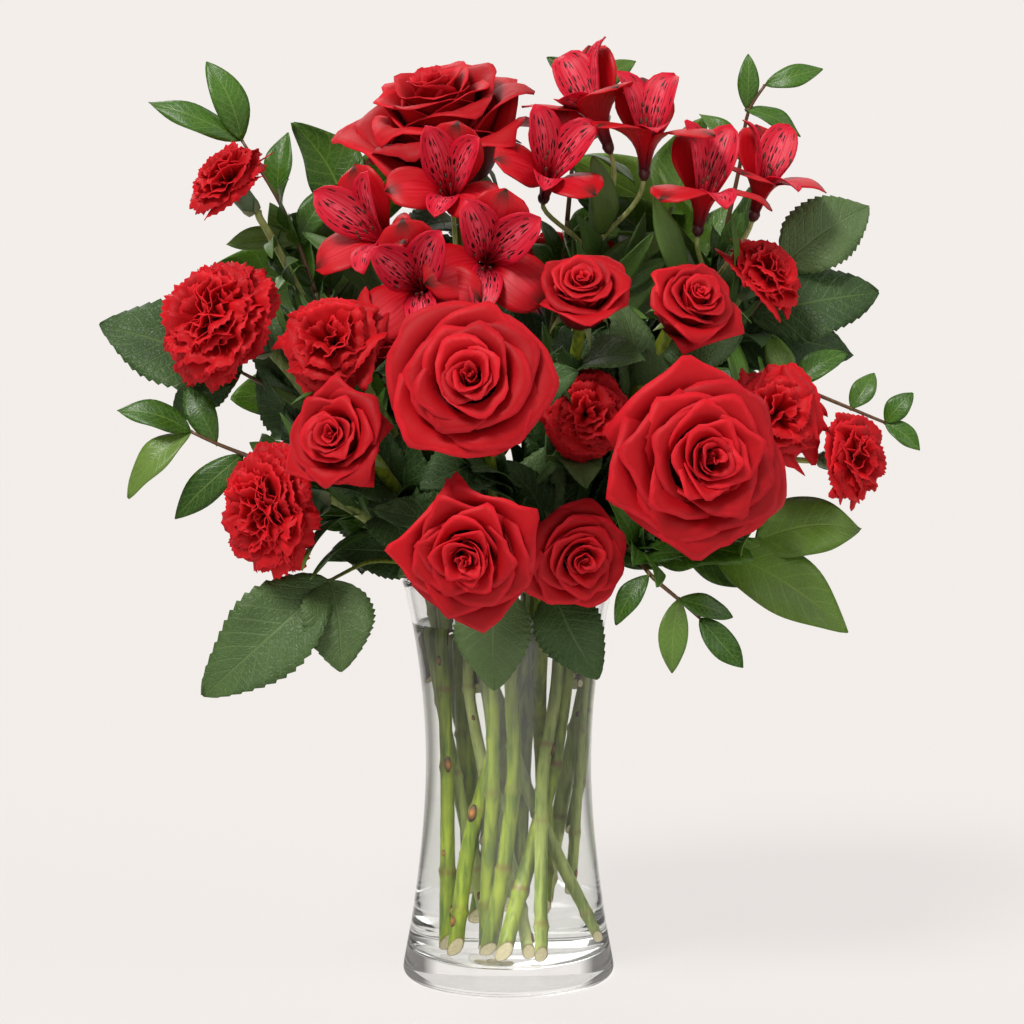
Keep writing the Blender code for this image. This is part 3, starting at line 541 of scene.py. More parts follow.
def grow_scars(bm, line, radii, rng):
    """Oval eyes where a leaf or thorn was pulled off: low brown bosses on the rind."""
    marks = bm.verts.layers.float["mark"]
    for k in range(4, len(line) - 3):
        if line[k][2] > STEMS_MEET or rng.random() > SCARS_PER_STEP:
            continue
        ahead = Vector(line[k + 1] - line[k - 1]).normalized()
        turn = rng.uniform(0, math.tau)
        out = Vector((math.sin(turn), -math.cos(turn), 0))
        out = (out - ahead * out.dot(ahead)).normalized()
        size = radii[k] * rng.uniform(0.32, 0.55)
        stand = Matrix.Translation(Vector(line[k]) + out * radii[k] * 0.86)
        stand = stand @ Matrix((ahead, ahead.cross(out), out)).transposed().to_4x4()
        stand = stand @ Matrix.Diagonal((size * 2.0, size, size * 0.6, 1))
        eye = bmesh.ops.create_icosphere(bm, subdivisions=2, radius=1.0, matrix=stand)["verts"]
        for vert in eye:
            offset = vert.co - stand.translation
            flat = offset - out * offset.dot(out)
            vert[marks] = max(0.0, 1 - flat.length / (1.3 * size))
        paint_faces(eye, EYE)


stem_lines = {}  # every stem's line by its node's name, for what grows on it later


def start_stem(name, radius, rng, end=None, swell=1.0, **habit):
    """A CAD stem grown afresh along its own line, or as far as its fork. Gives its mesh and line."""
    line = stem_lines[name] = centreline(name, radius, end)
    bm = bmesh.new()
    grow_stem(bm, line.copy(), radius * swell, rng, **habit)
    return bm, line


ROSE_STEM_RADII = {1: 3.6, 2: 3.6, 3: 3.2, 4: 3.8, 5: 3.8, 6: 3.8, 7: 3.5, 8: 3.5, 9: 3.6}
for number, radius in ROSE_STEM_RADII.items():
    name = f"rose_stem_{number}"
    bm, _ = start_stem(name, radius, random.Random(number), swell=1.02)
    place_piece(f"rose_cane_{number}", bm, [cane_rind, pith, eye_brown], "rose_stem", name)

# The roses: twenty-five to forty velvety petals rolled round each other in a spiral, tight in the
# middle and turned back at the rims, over a short green cup with five pointed sepals.
ROSE_DEPTH = 0.60  # depth of a head as a share of its diameter, as its CAD body has it
PETAL_COLUMNS = 16
PETAL_ROWS = 13
PETAL_THICKNESS = 0.45
GOLDEN_ANGLE = math.radians(137.5)
ROSE_CORE, ROSE_SPREAD = 0.010, 0.31  # radius of the first petal, and what the last one adds
FIRST_LEAN, ADDED_LEAN = -7, 30  # lean outward in degrees, the same way
FIRST_CURL, ADDED_CURL = 18, 88  # curl of the rim in degrees, the same way
BASE_BEND = math.radians(84)  # heading of a petal where it leaves the hip


def head_axis(node):
    """Base, direction and length of a turned CAD head, from the symmetry of its vertices."""
    points = corner_points(node)
    middle = points.mean(axis=0)
    values, vectors = np.linalg.eigh(np.cov((points - middle).T))
    axis = vectors[:, 0] if values[1] - values[0] > values[2] - values[1] else vectors[:, 2]
    along = (points - middle) @ axis
    out = np.linalg.norm(points - middle - along[:, None] * axis, axis=1)
    if out[along < 0].mean() > out[along > 0].mean():
        axis, along = -axis, -along
    length = along.max() - along.min()
    return Vector(middle + axis * along.min()), Vector(axis), length


def head_frame(base, facing, spin=0.0):
    """Matrix that stands a head made along +Z at its base, pointing along facing."""
    turn = facing.to_track_quat("Z", "Y").to_matrix().to_4x4()
    return Matrix.Translation(base) @ turn @ Matrix.Rotation(spin, 4, "Z")


def eased(x):
    x = min(1.0, max(0.0, x))
    return x * x * (3 - 2 * x)


def petal_path(start, headings, length, steps=40):
    """(radius, height, heading) along a petal whose heading from upright is a function of its share."""
    r, z = start
    path = []
    for k in range(steps + 1):
        heading = headings(k / steps)
        path.append((r, z, heading))
        r += math.sin(heading) * length / steps
        z += math.cos(heading) * length / steps
    return path


def along_path(path, share):
    """Radius, height and heading at a share of the path, or straight on past its end."""
    place = max(share, 0.0) * (len(path) - 1)
    k = min(int(place), len(path) - 2)
    return [a + (b - a) * (place - k) for a, b in zip(path[k], path[k + 1])]


def polar(r, turn, z):
    """Point at a radius, turn and height about the axis of a flower."""
    return Vector((r * math.cos(turn), r * math.sin(turn), z))


def off_path(turn, width, path, share, lift):
    """Point beside a path that lies at a turn, lifted off the petal's middle towards the axis."""
    r, z, heading = along_path(path, share)
    middle = polar(r, turn, z) + polar(-math.cos(heading), turn, math.sin(heading)) * lift
    return middle + Vector((-math.sin(turn), math.cos(turn), 0)) * width


def grow_petal(bm, columns, rows, shape, mark, finish=0):
    """One petal from a grid: shape(across, along) gives each point, across -1 to 1, along 0 to 1."""
    marks, _ = skin_layers(bm)
    grid = bmesh.ops.create_grid(bm, x_segments=columns, y_segments=rows, size=1, calc_uvs=True)["verts"]
    for vert in grid:
        vert.co = shape(vert.co.x, 0.5 * (vert.co.y + 1))
        vert[marks] = mark
    if finish:
        paint_faces(grid, finish)


def rose_petal(bm, size, t, turn, rng, openness, pointed):
    """Petal number t of the spiral, 0 in the middle and 1 outermost, of a rose of this diameter."""
    wall = size * (ROSE_CORE + ROSE_SPREAD * t**1.05)
    lean = FIRST_LEAN + ADDED_LEAN * t**2.2 * openness + rng.uniform(-3.5, 3.5) * (0.4 + t)
    curl = FIRST_CURL + ADDED_CURL * min(1, t * 1.25) ** 1.2 * rng.uniform(0.75, 1.18)
    lean, curl = math.radians(lean), math.radians(curl)
    curl_share = 0.10 + 0.26 * t
    height = size * (0.43 + 0.17 * min(1, 3.5 * t) - 0.17 * t * t) * rng.uniform(0.96, 1.04)
    length = wall * 0.9 + height
    base_share = 0.9 * wall / length

    def headings(s):
        if s < base_share:
            return BASE_BEND + (lean - BASE_BEND) * eased(s / base_share)
        return lean + curl * eased((s - 1 + curl_share) / curl_share) ** 1.1

    path = petal_path((0.01 * size, 0.02 * size), headings, length)
    half_width = size * (0.13 + 0.33 * t**0.8) * rng.uniform(0.93, 1.08)
    wave = rng.uniform(0, math.tau)
    skew = rng.uniform(-0.25, 0.25)
    tone = rng.uniform(0, 1)
    point = pointed * rng.uniform(0.6, 1.3)
    notch = rng.uniform(0.0, 0.03)

    def shape(across, along):
        off = across + skew * (1 - across * across)
        top = 1 - (0.17 + 0.12 * point) * abs(off) ** (2.4 - 0.9 * min(1, point))
        top += point * 0.07 * math.exp(-((off / 0.14) ** 2)) - notch * math.exp(-(((off - 0.3) / 0.1) ** 2))
        r, z, _ = along_path(path, along * top)
        width = half_width * (0.42 + 0.58 * eased(along / 0.62)) * (1 - 0.10 * along**6)
        reach = max(r, 0.8 * wall, 0.045 * size)
        turned = turn + across * min(width / reach, 2.6)
        edge = max(0, abs(across) - 0.35) * along**2.5
        r += 0.016 * size * across * (1.2 - t) + (0.06 + 0.12 * point) * size * edge * edge * t * 2
        r += 0.010 * size * along**3 * math.sin(wave + 4.2 * across)
        z += 0.012 * size * along**4 * math.sin(wave * 1.7 + 3.1 * across)
        r += 0.006 * size * along**6 * math.sin(wave * 2.3 + 11 * across)
        z += 0.005 * size * along**6 * math.sin(wave * 3.1 + 13 * across)
        z -= (0.05 + 0.12 * point) * size * edge * edge * t * 2
        return polar(r, turned, z)

    grow_petal(bm, PETAL_COLUMNS, PETAL_ROWS, shape, tone)


def grow_cup(bm, size, profile, sides):
    """Round green cup under a flower, from (radius, height) points as shares of its size."""
    line = np.array([[0, 0, z * size] for _, z in profile])
    grow_tube(bm, line, [r * size for r, _ in profile], sides)


def grow_sepals(bm, size, rng):
    """Round hip and five narrow sepals that hang back from it."""
    grow_cup(bm, size, [(0.030, -0.01), (0.060, 0.01), (0.085, 0.05), (0.090, 0.09), (0.070, 0.13)], 16)
    for k in range(5):
        turn = k * math.tau / 5 + rng.uniform(-0.2, 0.2)
        droop = rng.uniform(0.9, 2.3)
        length = size * rng.uniform(0.26, 0.36)

        def sepal(across, along):
            lean = min(0.5 + droop * along, 2.4)
            run = length * along
            r = 0.075 * size + run * math.sin(lean) * 0.8
            width = 0.050 * size * (1 - along) ** 0.8 * (0.8 + 0.5 * math.sin(math.pi * along))
            z = 0.09 * size + run * math.cos(lean) - 0.3 * width * across * across
            return polar(r, turn, z) + polar(across * width, turn + math.pi / 2, 0)

        grow_petal(bm, 4, 8, sepal, 0.2)


# velvety petal: painted shade that is darkest at its base, deep in the flower, and gets brighter towards
# the rim, a painted highlight along the very rim, and a fine soft grain
velvet, given, result = new_group(
    "velvet", {"Deep": "Color", "Bright": "Color", "Rim": "Color", "Start": "Float", "Grain": "Float"}, SKIN
)
surface = coordinates_node(velvet, "UV")
clouds = noise_node(velvet, coordinates_node(velvet), given["Grain"])
rise = math_node(velvet, "ADD", axes_node(velvet, surface)["Y"], product(velvet, clouds, 0.05))
# painted shade: the colour is darkest at the petal's base, where it sits deep in the flower, and lifts
# towards the rim
opened = math_node(velvet, "SUBTRACT", rise, given["Start"])
base = mix_node(velvet, between(velvet, opened, 0.0, 0.42), given["Deep"], given["Bright"])
# painted highlight: a lighter colour along the very rim of each petal
base = mix_node(velvet, between(velvet, rise, 0.97, 1.0), base, given["Rim"])
base = mix_node(velvet, product(velvet, mark_node(velvet), 0.34), base, given["Deep"])
ribs = noise_node(velvet, stretched(velvet, surface, (16, 1.5, 1)), 1.0)
height = math_node(velvet, "ADD", product(velvet, ribs, 1.2), clouds)
finish_skin(velvet, result, base, height, 0.14, 0.0006)
SOFT = {
    "Roughness": 0.58, "Sheen_Weight": 0.06, "Sheen_Roughness": 0.4, "Sheen_Tint": (1.0, 0.20, 0.25, 1),
    "Specular_IOR_Level": 0.18,
}
# rose petals: the darkest colour is painted shade at the base, and the rim colour is a painted highlight
rose_velvet = skin_material(
    "rose_velvet", velvet, SOFT, Deep=(0.09, 0.0007, 0.0014, 1), Bright=(0.49, 0.0030, 0.0075, 1),
    Rim=(0.68, 0.010, 0.020, 1), Start=0.40, Grain=260.0,
)
sepal_green = stem_material(
    "sepal_green", (0.05, 0.10, 0.02, 1), (0.16, 0.24, 0.06, 1), (0.25, 0.22, 0.08, 1)
)

# number of petals, how far the rose has opened, and how pointed its outer petals are
ROSE_HABITS = {
    1: (36, 1.2, 0.9), 2: (33, 1.0, 0.45), 3: (25, 0.9, 0.4), 4: (27, 0.9, 0.7), 5: (36, 1.1, 0.8),
    6: (27, 1.0, 0.8), 7: (33, 1.0, 1.1), 8: (31, 0.9, 0.4), 9: (32, 1.0, 0.5),
}
# where further petals hang from under a wide open rose: sideways and upward
HANGING_PETALS = {5: [(-0.9, -0.45), (0.15, -1.0), (0.95, -0.3)], 7: [(0.2, -1.0)]}
ROSE_SWELL = 1.06  # the open petals reach a little past the CAD body
heads = []  # middle and radius of every flower, which the leaves keep clear of
for number, (petals, openness, pointed) in ROSE_HABITS.items():
    node = f"rose_{number}"
    rng = random.Random(100 + number)
    base, facing, length = head_axis(node)
    size = ROSE_SWELL * length / ROSE_DEPTH
    heads.append((base + facing * length * 0.5, 0.5 * size))
    stand = head_frame(base, facing, rng.uniform(0, math.tau))
    bm = bmesh.new()
    for k in range(petals):
        t = k / (petals - 1)
        rose_petal(bm, size, t, k * GOLDEN_ANGLE + rng.uniform(-0.12, 0.12), rng, openness, pointed * t)
    for across, up in HANGING_PETALS.get(number, []):
        way = stand.to_3x3().inverted() @ Vector((across, -0.2, up))
        rose_petal(bm, size * 1.02, 0.9, math.atan2(way.y, way.x), rng, openness * 1.5, 1.0)
    whorl = f"rose_petals_{number}"
    place_piece(whorl, bm, [rose_velvet], "rose_petal", node, stand=stand, shell=PETAL_THICKNESS)
    bm = bmesh.new()
    grow_sepals(bm, size, rng)
    place_piece(f"rose_sepals_{number}", bm, [sepal_green], "rose_stem", stand=stand)


# The carnations: a tubular grey-green calyx with small bracts, from which fan-shaped petals spill
# in a ruff. Every petal has a narrow claw, a ruffled limb and a toothed margin.
CALYX_SHARE = 0.34  # lengths of a head's parts as shares of its diameter, as its CAD body has them
RUFF_SHARE = 0.46
CALYX_MOUTH = 0.8  # where in the calyx the petals start, as a share of its length
CLAW = 0.30  # share of a petal that is its narrow claw
TOOTH_COLUMNS = 22
RUFFLE_ROWS = 8
RUFF_THICKNESS = 0.4
INNER_PETALS = 1.5  # how much narrower and more rumpled the inner petals of an open head are

# carnation petals: the darkest colour is painted shade at the base, and the rim colour is a painted
# highlight
carnation_skin = skin_material(
    "carnation_petal", velvet, SOFT, Deep=(0.14, 0.0010, 0.002, 1), Bright=(0.56, 0.0045, 0.0085, 1),
    Rim=(0.70, 0.010, 0.018, 1), Start=0.22, Grain=300.0,
)
calyx_bloom = stem_material(
    "calyx_green", (0.045, 0.105, 0.045, 1), (0.13, 0.22, 0.11, 1), (0.30, 0.28, 0.15, 1)
)


def carnation_petal(bm, size, tilt, turn, rng, fullness, ruffle):
    """Fan that leaves the calyx upright, bends out by its tilt and ends in a ruffled, toothed rim."""
    reach = size * (0.47 + 0.13 * math.sin(tilt)) * rng.uniform(0.90, 1.06)
    curl = math.radians(rng.uniform(5, 85)) * (0.5 + 0.4 * tilt)

    def headings(s):
        return tilt * eased(s / 0.45) + curl * eased((s - 0.6) / 0.4)

    path = petal_path((0.02 * size * rng.random(), CALYX_MOUTH * CALYX_SHARE * size), headings, reach)
    half_width = size * rng.uniform(0.20, 0.27) * fullness
    waves = rng.uniform(0.9, 1.7) * ruffle
    phase, second = rng.uniform(0, math.tau), rng.uniform(0, math.tau)
    depth = size * rng.uniform(0.022, 0.048) * ruffle
    tooth = [rng.uniform(0.006, 0.030) for _ in range(TOOTH_COLUMNS + 1)]
    tone = rng.uniform(0, 1)

    def shape(across, along):
        column = round((across + 1) * 0.5 * TOOTH_COLUMNS)
        notch = tooth[column] * (1 if column % 2 else -1) * max(0, along - 0.75) * 4
        opened = eased((along - CLAW * 0.6) / (1 - CLAW * 0.6))
        width = half_width * (0.10 + 0.90 * opened) * (1 + 0.05 * math.sin(phase + 9 * along))
        wave = math.tau * waves * across * 0.5 + phase
        small_bend = 0.45 * math.sin(math.tau * waves * 1.35 * across + second)
        lift = depth * (math.sin(wave) + small_bend) * opened**1.3 - 0.25 * width * across * across
        sideways = across * width * (1 - 0.22 * math.cos(wave) * opened)
        return off_path(turn, sideways, path, along * (1 - 0.24 * abs(across) ** 2.2 + notch), lift)

    grow_petal(bm, TOOTH_COLUMNS, RUFFLE_ROWS, shape, tone)


CALYX_PROFILE = [(0.055, 0.0), (0.085, 0.08), (0.105, 0.30), (0.112, 0.60), (0.118, 0.86), (0.135, 1.0)]


def grow_calyx(bm, size):
    """Tubular calyx with five teeth at its mouth and four bracts round its foot."""
    length = CALYX_SHARE * size
    grow_cup(bm, size, [(r, share * CALYX_SHARE) for r, share in CALYX_PROFILE], 20)

    def tooth(across, along):
        turned = turn + across * 0.62 * (1 - along) ** 0.7
        return polar(0.115 * size * (1.06 + 0.30 * along**2), turned, length * (0.72 + 0.46 * along))

    def bract(across, along):
        turned = turn + across * 0.8 * (1 - along**1.5)
        return polar(size * (0.075 + 0.045 * along) + 0.4, turned, length * (0.02 + 0.36 * along))

    for count, start, blade, mark in ((5, 0.0, tooth, 0.3), (4, 0.4, bract, 0.5)):
        for k in range(count):
            turn = k * math.tau / count + start
            grow_petal(bm, 4, 4, blade, mark)


# number of petals, how full each petal is and how much it is ruffled
CARNATION_HABITS = {
    1: (28, 1.45, 0.9), 2: (72, 1.0, 1.0), 3: (28, 1.5, 0.95), 4: (72, 1.0, 1.0), 5: (40, 1.2, 1.0),
    6: (28, 1.5, 0.9), 7: (26, 1.6, 0.9), 8: (28, 1.4, 0.9), 9: (66, 1.0, 1.0),
}
for number, (petals, fullness, ruffle) in CARNATION_HABITS.items():
    node = f"carnation_{number}"
    rng = random.Random(200 + number)
    base, facing, length = head_axis(node)
    size = length / (CALYX_SHARE + RUFF_SHARE)
    heads.append((base + facing * length * 0.65, 0.5 * size))
    stand = head_frame(base, facing)
    bm = bmesh.new()
    for k in range(petals):
        t = (k + 0.5) / petals
        tilt = math.radians(3 + 94 * t**0.80)
        outer = INNER_PETALS * (fullness - 1) * (t - 0.5)
        carnation_petal(bm, size, tilt, k * GOLDEN_ANGLE, rng, fullness * (1 + outer), ruffle * (1 - outer))
    ruff = f"carnation_ruff_{number}"
    place_piece(ruff, bm, [carnation_skin], "carnation_petal", node, stand=stand, shell=RUFF_THICKNESS)
    bm = bmesh.new()
    grow_calyx(bm, size)
    place_piece(f"carnation_calyx_{number}", bm, [calyx_bloom], "carnation_stem", stand=stand)

# The carnation stems: waxy, thinner and paler than the roses', with swollen joints. Two of the
# small heads share one forked stem.
waxy_rind = stem_material(
    "waxy_rind", (0.12, 0.19, 0.035, 1), (0.42, 0.48, 0.13, 1), (0.22, 0.13, 0.04, 1)
)
CARNATION_STEM_RADII = {1: 2.2, 2: 3.0, 3: 2.4, 4: 3.0, 5: 3.3, 6: 2.2, 7: 2.4, 9: 3.0}
SPRAY_FORK = (100, -38, 262)
FORKED_HEADS = (7, 8)  # the stem with the first one's number carries both
BRANCH_RADIUS = 1.7
for number, radius in CARNATION_STEM_RADII.items():
    name = f"carnation_stem_{number}"
    rng = random.Random(300 + number)
    forked = number == FORKED_HEADS[0]
    bm, line = start_stem(name, radius, rng, SPRAY_FORK if forked else None, nodes_apart=48)
    for head in FORKED_HEADS if forked else ():
        branch = sweep(SPRAY_FORK, line[-1] - line[-3], *head_axis(f"carnation_{head}")[:2])
        grow_stem(bm, branch, BRANCH_RADIUS, rng, nodes_apart=22, sides=8, cut=False)
    place_piece(f"carnation_stalk_{number}", bm, [waxy_rind, pith, eye_brown], "carnation_stem", name)


# The alstroemeria: florets of six tepals on thin pedicels, three broad outer ones with a dark tip
# and three narrow inner ones with dashes, round red filaments and a ribbed ovary.
FLORET_LENGTH = 52.0
TEPAL_COLUMNS = 10
TEPAL_ROWS = 16
TEPAL_THICKNESS = 0.4
FILAMENT_RADIUS = 0.55
ANTHER_RADIUS = 0.62

# silky tepal: pale streaks, black dashes along the veins, painted shade that darkens the throat, and a dark
# smear at the tip
silk, given, result = new_group(
    "silk", {"Ground": "Color", "Pale": "Color", "Dashes": "Float", "Tip": "Float"}, SKIN
)
surface = coordinates_node(silk, "UV")
axes = axes_node(silk, surface)
off_middle = math_node(silk, "ABSOLUTE", math_node(silk, "SUBTRACT", axes["X"], 0.5))
middle = between(silk, off_middle, 0.44, 0.0)
belt = product(silk, between(silk, axes["Y"], 0.24, 0.45), between(silk, axes["Y"], 0.94, 0.74))
veins = noise_node(silk, stretched(silk, surface, (20, 1.6, 1)), 1.0)
streak = product(silk, middle, belt, between(silk, veins, 0.40, 0.62))
colour = mix_node(silk, streak, given["Ground"], given["Pale"])
cell_place = {"Vector": stretched(silk, surface, (19, 9, 1)), "Scale": 1.0, "Randomness": 0.8}
cells = add_node(silk, "TexVoronoi", cell_place, "Distance")
on_limb = math_node(silk, "GREATER_THAN", belt, 0.15)
off_edge = math_node(silk, "GREATER_THAN", middle, 0.10)
fleck = product(silk, between(silk, cells, 0.42, 0.34), given["Dashes"], on_limb, off_edge)
colour = mix_node(silk, fleck, colour, (0.008, 0.001, 0.002, 1))
# painted shade: the tepal darkens towards its base, deep in the funnel of the floret
colour = mix_node(silk, between(silk, axes["Y"], 0.34, 0.05), colour, (0.06, 0.001, 0.006, 1))
end = product(silk, between(silk, axes["Y"], 0.80, 0.98), given["Tip"])
smear = product(silk, end, between(silk, product(silk, middle, veins), 0.20, 0.42))
colour = mix_node(silk, smear, colour, (0.016, 0.012, 0.006, 1))
finish_skin(silk, result, colour, veins, 0.35, 0.0007)
SATIN = {"Roughness": 0.45, "Specular_IOR_Level": 0.22}
broad_tepal = skin_material(
    "broad_tepal", silk, SATIN, Ground=(0.50, 0.0025, 0.008, 1), Pale=(0.62, 0.018, 0.035, 1),
    Dashes=0.0, Tip=1.0,
)
flecked_tepal = skin_material(
    "flecked_tepal", silk, SATIN, Ground=(0.60, 0.007, 0.028, 1), Pale=(0.88, 0.11, 0.16, 1),
    Dashes=1.0, Tip=0.0,
)
filament_red = new_material("filament_red", Base_Color=(0.50, 0.01, 0.03, 1), Roughness=0.4)[0]
anther_brown = new_material("anther_brown", Base_Color=(0.10, 0.035, 0.02, 1), Roughness=0.7)[0]
ovary_maroon = stem_material(
    "ovary_maroon", (0.035, 0.006, 0.008, 1), (0.13, 0.02, 0.02, 1), (0.10, 0.14, 0.03, 1)
)
HEART_FINISHES = [ovary_maroon, filament_red, anther_brown]


def alstroemeria_tepal(bm, length, half_width, turn, flare, rng, outer):
    """Spoon-shaped tepal: a narrow claw in the funnel, then a limb that bends out and recurves."""
    start_lean = math.radians(9 if outer else 5)
    lean = math.radians(flare * rng.uniform(0.85, 1.15))
    recurve = math.radians(rng.uniform(15, 55))

    def headings(s):
        opened = start_lean + (lean - start_lean) * eased((s - 0.15) / 0.55)
        return opened + recurve * eased((s - 0.7) / 0.3)

    path = petal_path((1.8, 2.0), headings, length)
    phase = rng.uniform(0, math.tau)
    twist = rng.uniform(-0.12, 0.12)

    def shape(across, along):
        limb = eased((along - 0.12) / 0.55)
        roundness = max(0.0, 1 - max(0, (along - 0.60) / 0.40) ** 2.6) ** (0.5 if outer else 0.72)
        width = half_width * (0.17 + 0.83 * limb) * max(roundness, 0.035)
        cup = (0.34 - 0.42 * limb if outer else 0.30) * width * across * across
        ripple = 0.05 * half_width * math.sin(phase + 7 * along) * across * limb
        return off_path(turn, across * width, path, along, cup + ripple + twist * width * across)

    grow_petal(bm, TEPAL_COLUMNS, TEPAL_ROWS, shape, rng.uniform(0, 1), 0 if outer else 1)


# turn in degrees, length and half-width as shares of the floret's length, share of its flare
BROAD_TEPALS = [(90, 0.98, 0.29, 0.85), (212, 0.94, 0.27, 1.35), (328, 0.94, 0.27, 1.35)]
FLECKED_TEPALS = [(136, 1.02, 0.20, 0.66), (44, 1.02, 0.20, 0.66), (270, 0.86, 0.15, 1.2)]


def floret_frame(base, facing, spin):
    """Stand with the floret's top tepal turned up, or to the back where it faces up."""
    top = Vector((0, 0.5, 1))
    top = (top - facing * top.dot(facing)).normalized()
    turn = Matrix((top.cross(facing), top, facing)).transposed().to_4x4()
    return Matrix.Translation(base) @ turn @ Matrix.Rotation(spin, 4, "Z")


def grow_floret(bm, inner, rng, scale, flare, droop):
    """Tepals into bm, and ovary with filaments and anthers into inner."""
    length = FLORET_LENGTH * scale
    for outer, tepals in ((True, BROAD_TEPALS), (False, FLECKED_TEPALS)):
        for turn, reach, half_width, share in tepals:
            turned = math.radians(turn + rng.uniform(-4, 4))
            opened = flare * share * (droop if share > 1 else 1)
            alstroemeria_tepal(bm, length * reach, half_width * length, turned, opened, rng, outer)
    grow_cup(inner, 1.0, [(1.2, -1.0), (2.6, 0.8), (3.1, 3.0), (2.4, 5.0), (1.6, 6.0)], 12)
    for k in range(6):
        turn = k * math.tau / 6 + rng.uniform(-0.2, 0.2)
        lean = math.radians(rng.uniform(6, 16))
        top = polar(math.sin(lean), turn, math.cos(lean)) * (length * rng.uniform(0.50, 0.70))
        bend = Vector((0, 0.10 * length, 0))
        line = sweep((0, 0, 4), (0, 0, 1), top - bend * 0.4, top.normalized() - bend * 0.02, 6)
        grow_tube(inner, line, [FILAMENT_RADIUS] * len(line), 6, finish=1)
        anther = np.array([line[-1] + np.array((0, 0.2, 1)) * d for d in (-1.5, -0.8, 0.8, 1.5)])
        grow_tube(inner, anther, [0.25, ANTHER_RADIUS, ANTHER_RADIUS, 0.25], 6, finish=2)


# size of each floret, its openness in degrees and how much more its lower tepals open
FLORET_HABITS = {
    1: (1.0, 46, 1.0), 2: (1.0, 50, 1.0), 3: (1.04, 50, 1.0), 4: (0.96, 44, 1.0), 5: (0.98, 46, 1.0),
    6: (1.04, 28, 1.7), 7: (1.0, 34, 1.9), 8: (1.02, 34, 1.9), 9: (0.94, 38, 1.7),
}
for number, (scale, flare, droop) in FLORET_HABITS.items():
    node = f"alstroemeria_{number}"
    rng = random.Random(400 + number)
    base, facing, _ = head_axis(node)
    heads.append((base + facing * FLORET_LENGTH * 0.75, 0.45 * FLORET_LENGTH))
    stand = floret_frame(base, facing, rng.uniform(-0.3, 0.3))
    bm, inner = bmesh.new(), bmesh.new()
    grow_floret(bm, inner, rng, scale, flare, droop)
    tepals, heart = f"alstroemeria_tepals_{number}", f"alstroemeria_heart_{number}"
    finishes = [broad_tepal, flecked_tepal]
    place_piece(tepals, bm, finishes, "alstroemeria_petal", node, stand=stand, shell=TEPAL_THICKNESS)
    place_piece(heart, inner, HEART_FINISHES, "alstroemeria_petal", stand=stand)

# The leaves: every blade is one grid with a folded midrib, arched along its length and waved at its
# edges. Small ones are glossy and oval, rose leaflets are toothed and dull, the broad ones leathery.
# columns and rows of each kind's blade
LEAF_GRID = {"strap": (6, 22), "small": (6, 14), "broad": (8, 22), "serrated": (8, 60)}
TEETH = 15
LEAF_DROOP = 0.10
BACK_HALF = 25.0  # leaves and heads behind this turn to the back
BLADE_THICKNESS = 0.4
STRAP_THICKNESS = 0.35


def leaf_outline(kind, along):
    """Half-width of a blade as a share of its greatest, from its base, 0, to its tip, 1."""
    if kind == "strap":
        return max(0.02, math.sin(math.pi * min(1, 0.06 + 0.94 * along)) ** 0.7)
    if kind == "small":
        return max(0.03, math.sin(math.pi * along**0.92) ** 0.80)
    if kind == "broad":
        return max(0.02, math.sin(math.pi * along**0.80) ** 0.72 * (1 - 0.12 * along**3))
    return max(0.02, math.sin(math.pi * along**0.78) ** 0.74)


def grow_leaf(bm, base, tip, width, kind, rng, outward=None):
    """Blade from base to tip with its upper side turned to outward."""
    base, tip = Vector(base), Vector(tip)
    length = (tip - base).length
    ahead = (tip - base) / length
    if outward is None:
        outward = (0, -1 if base.y < BACK_HALF else 1, 0.5)
    outward = Vector(outward) + Vector([rng.uniform(-0.25, 0.25) for _ in range(3)])
    up = (outward - ahead * outward.dot(ahead)).normalized()
    side = ahead.cross(up)
    fold = rng.uniform(0.10, 0.32)
    sway = rng.uniform(-0.05, 0.05) * length
    curl = rng.uniform(-0.5, 0.9)
    phase = rng.uniform(0, math.tau)
    arch = LEAF_DROOP * length

    def shape(across, along):
        half = 0.5 * width * leaf_outline(kind, along)
        if kind == "serrated":
            tooth = (along * TEETH * 2) % 2 / 2
            half *= 1 + (0.10 * (1 - tooth) - 0.03) * abs(across) ** 4 * min(1, 8 * along)
        bow = math.sin(math.pi * along)
        middle = base + ahead * (along * length)
        middle += up * (arch * (bow - 0.8 * along**2)) + side * (sway * bow)
        lift = fold * abs(across) * half - 0.22 * curl * across * across * half
        lift += 0.055 * width * math.sin(phase + along * 11 + 2 * across) * across * across
        return middle + side * (across * half) + up * lift

    columns, rows = LEAF_GRID[kind]
    grow_petal(bm, columns, rows, shape, rng.uniform(0, 1))


# leaf with a pale midrib and side veins that lean to the tip, or long parallel ones
VEIN_VALUES = {"Pairs": "Float", "Long": "Float", "Relief": "Float"}
veined, given, result = new_group(
    "veined", {"Dark": "Color", "Light": "Color", "Vein": "Color"} | VEIN_VALUES, SKIN
)
axes = axes_node(veined, coordinates_node(veined, "UV"))
off_middle = math_node(veined, "ABSOLUTE", math_node(veined, "SUBTRACT", axes["X"], 0.5))
lean = math_node(veined, "SUBTRACT", axes["Y"], product(veined, off_middle, 0.45))
across, lengthwise = product(veined, lean, given["Pairs"]), product(veined, axes["X"], given["Long"])
count = math_node(veined, "FRACT", math_node(veined, "ADD", across, lengthwise))
from_vein = math_node(veined, "ABSOLUTE", math_node(veined, "SUBTRACT", count, 0.5))
side_vein = between(veined, from_vein, 0.11, 0.0)
midrib = between(veined, off_middle, 0.03, 0.0)
veins = math_node(veined, "MAXIMUM", product(veined, side_vein, 0.5), midrib)
place = coordinates_node(veined)
clouds = between(veined, noise_node(veined, place, 55), 0.3, 0.7)
mark = mark_node(veined)
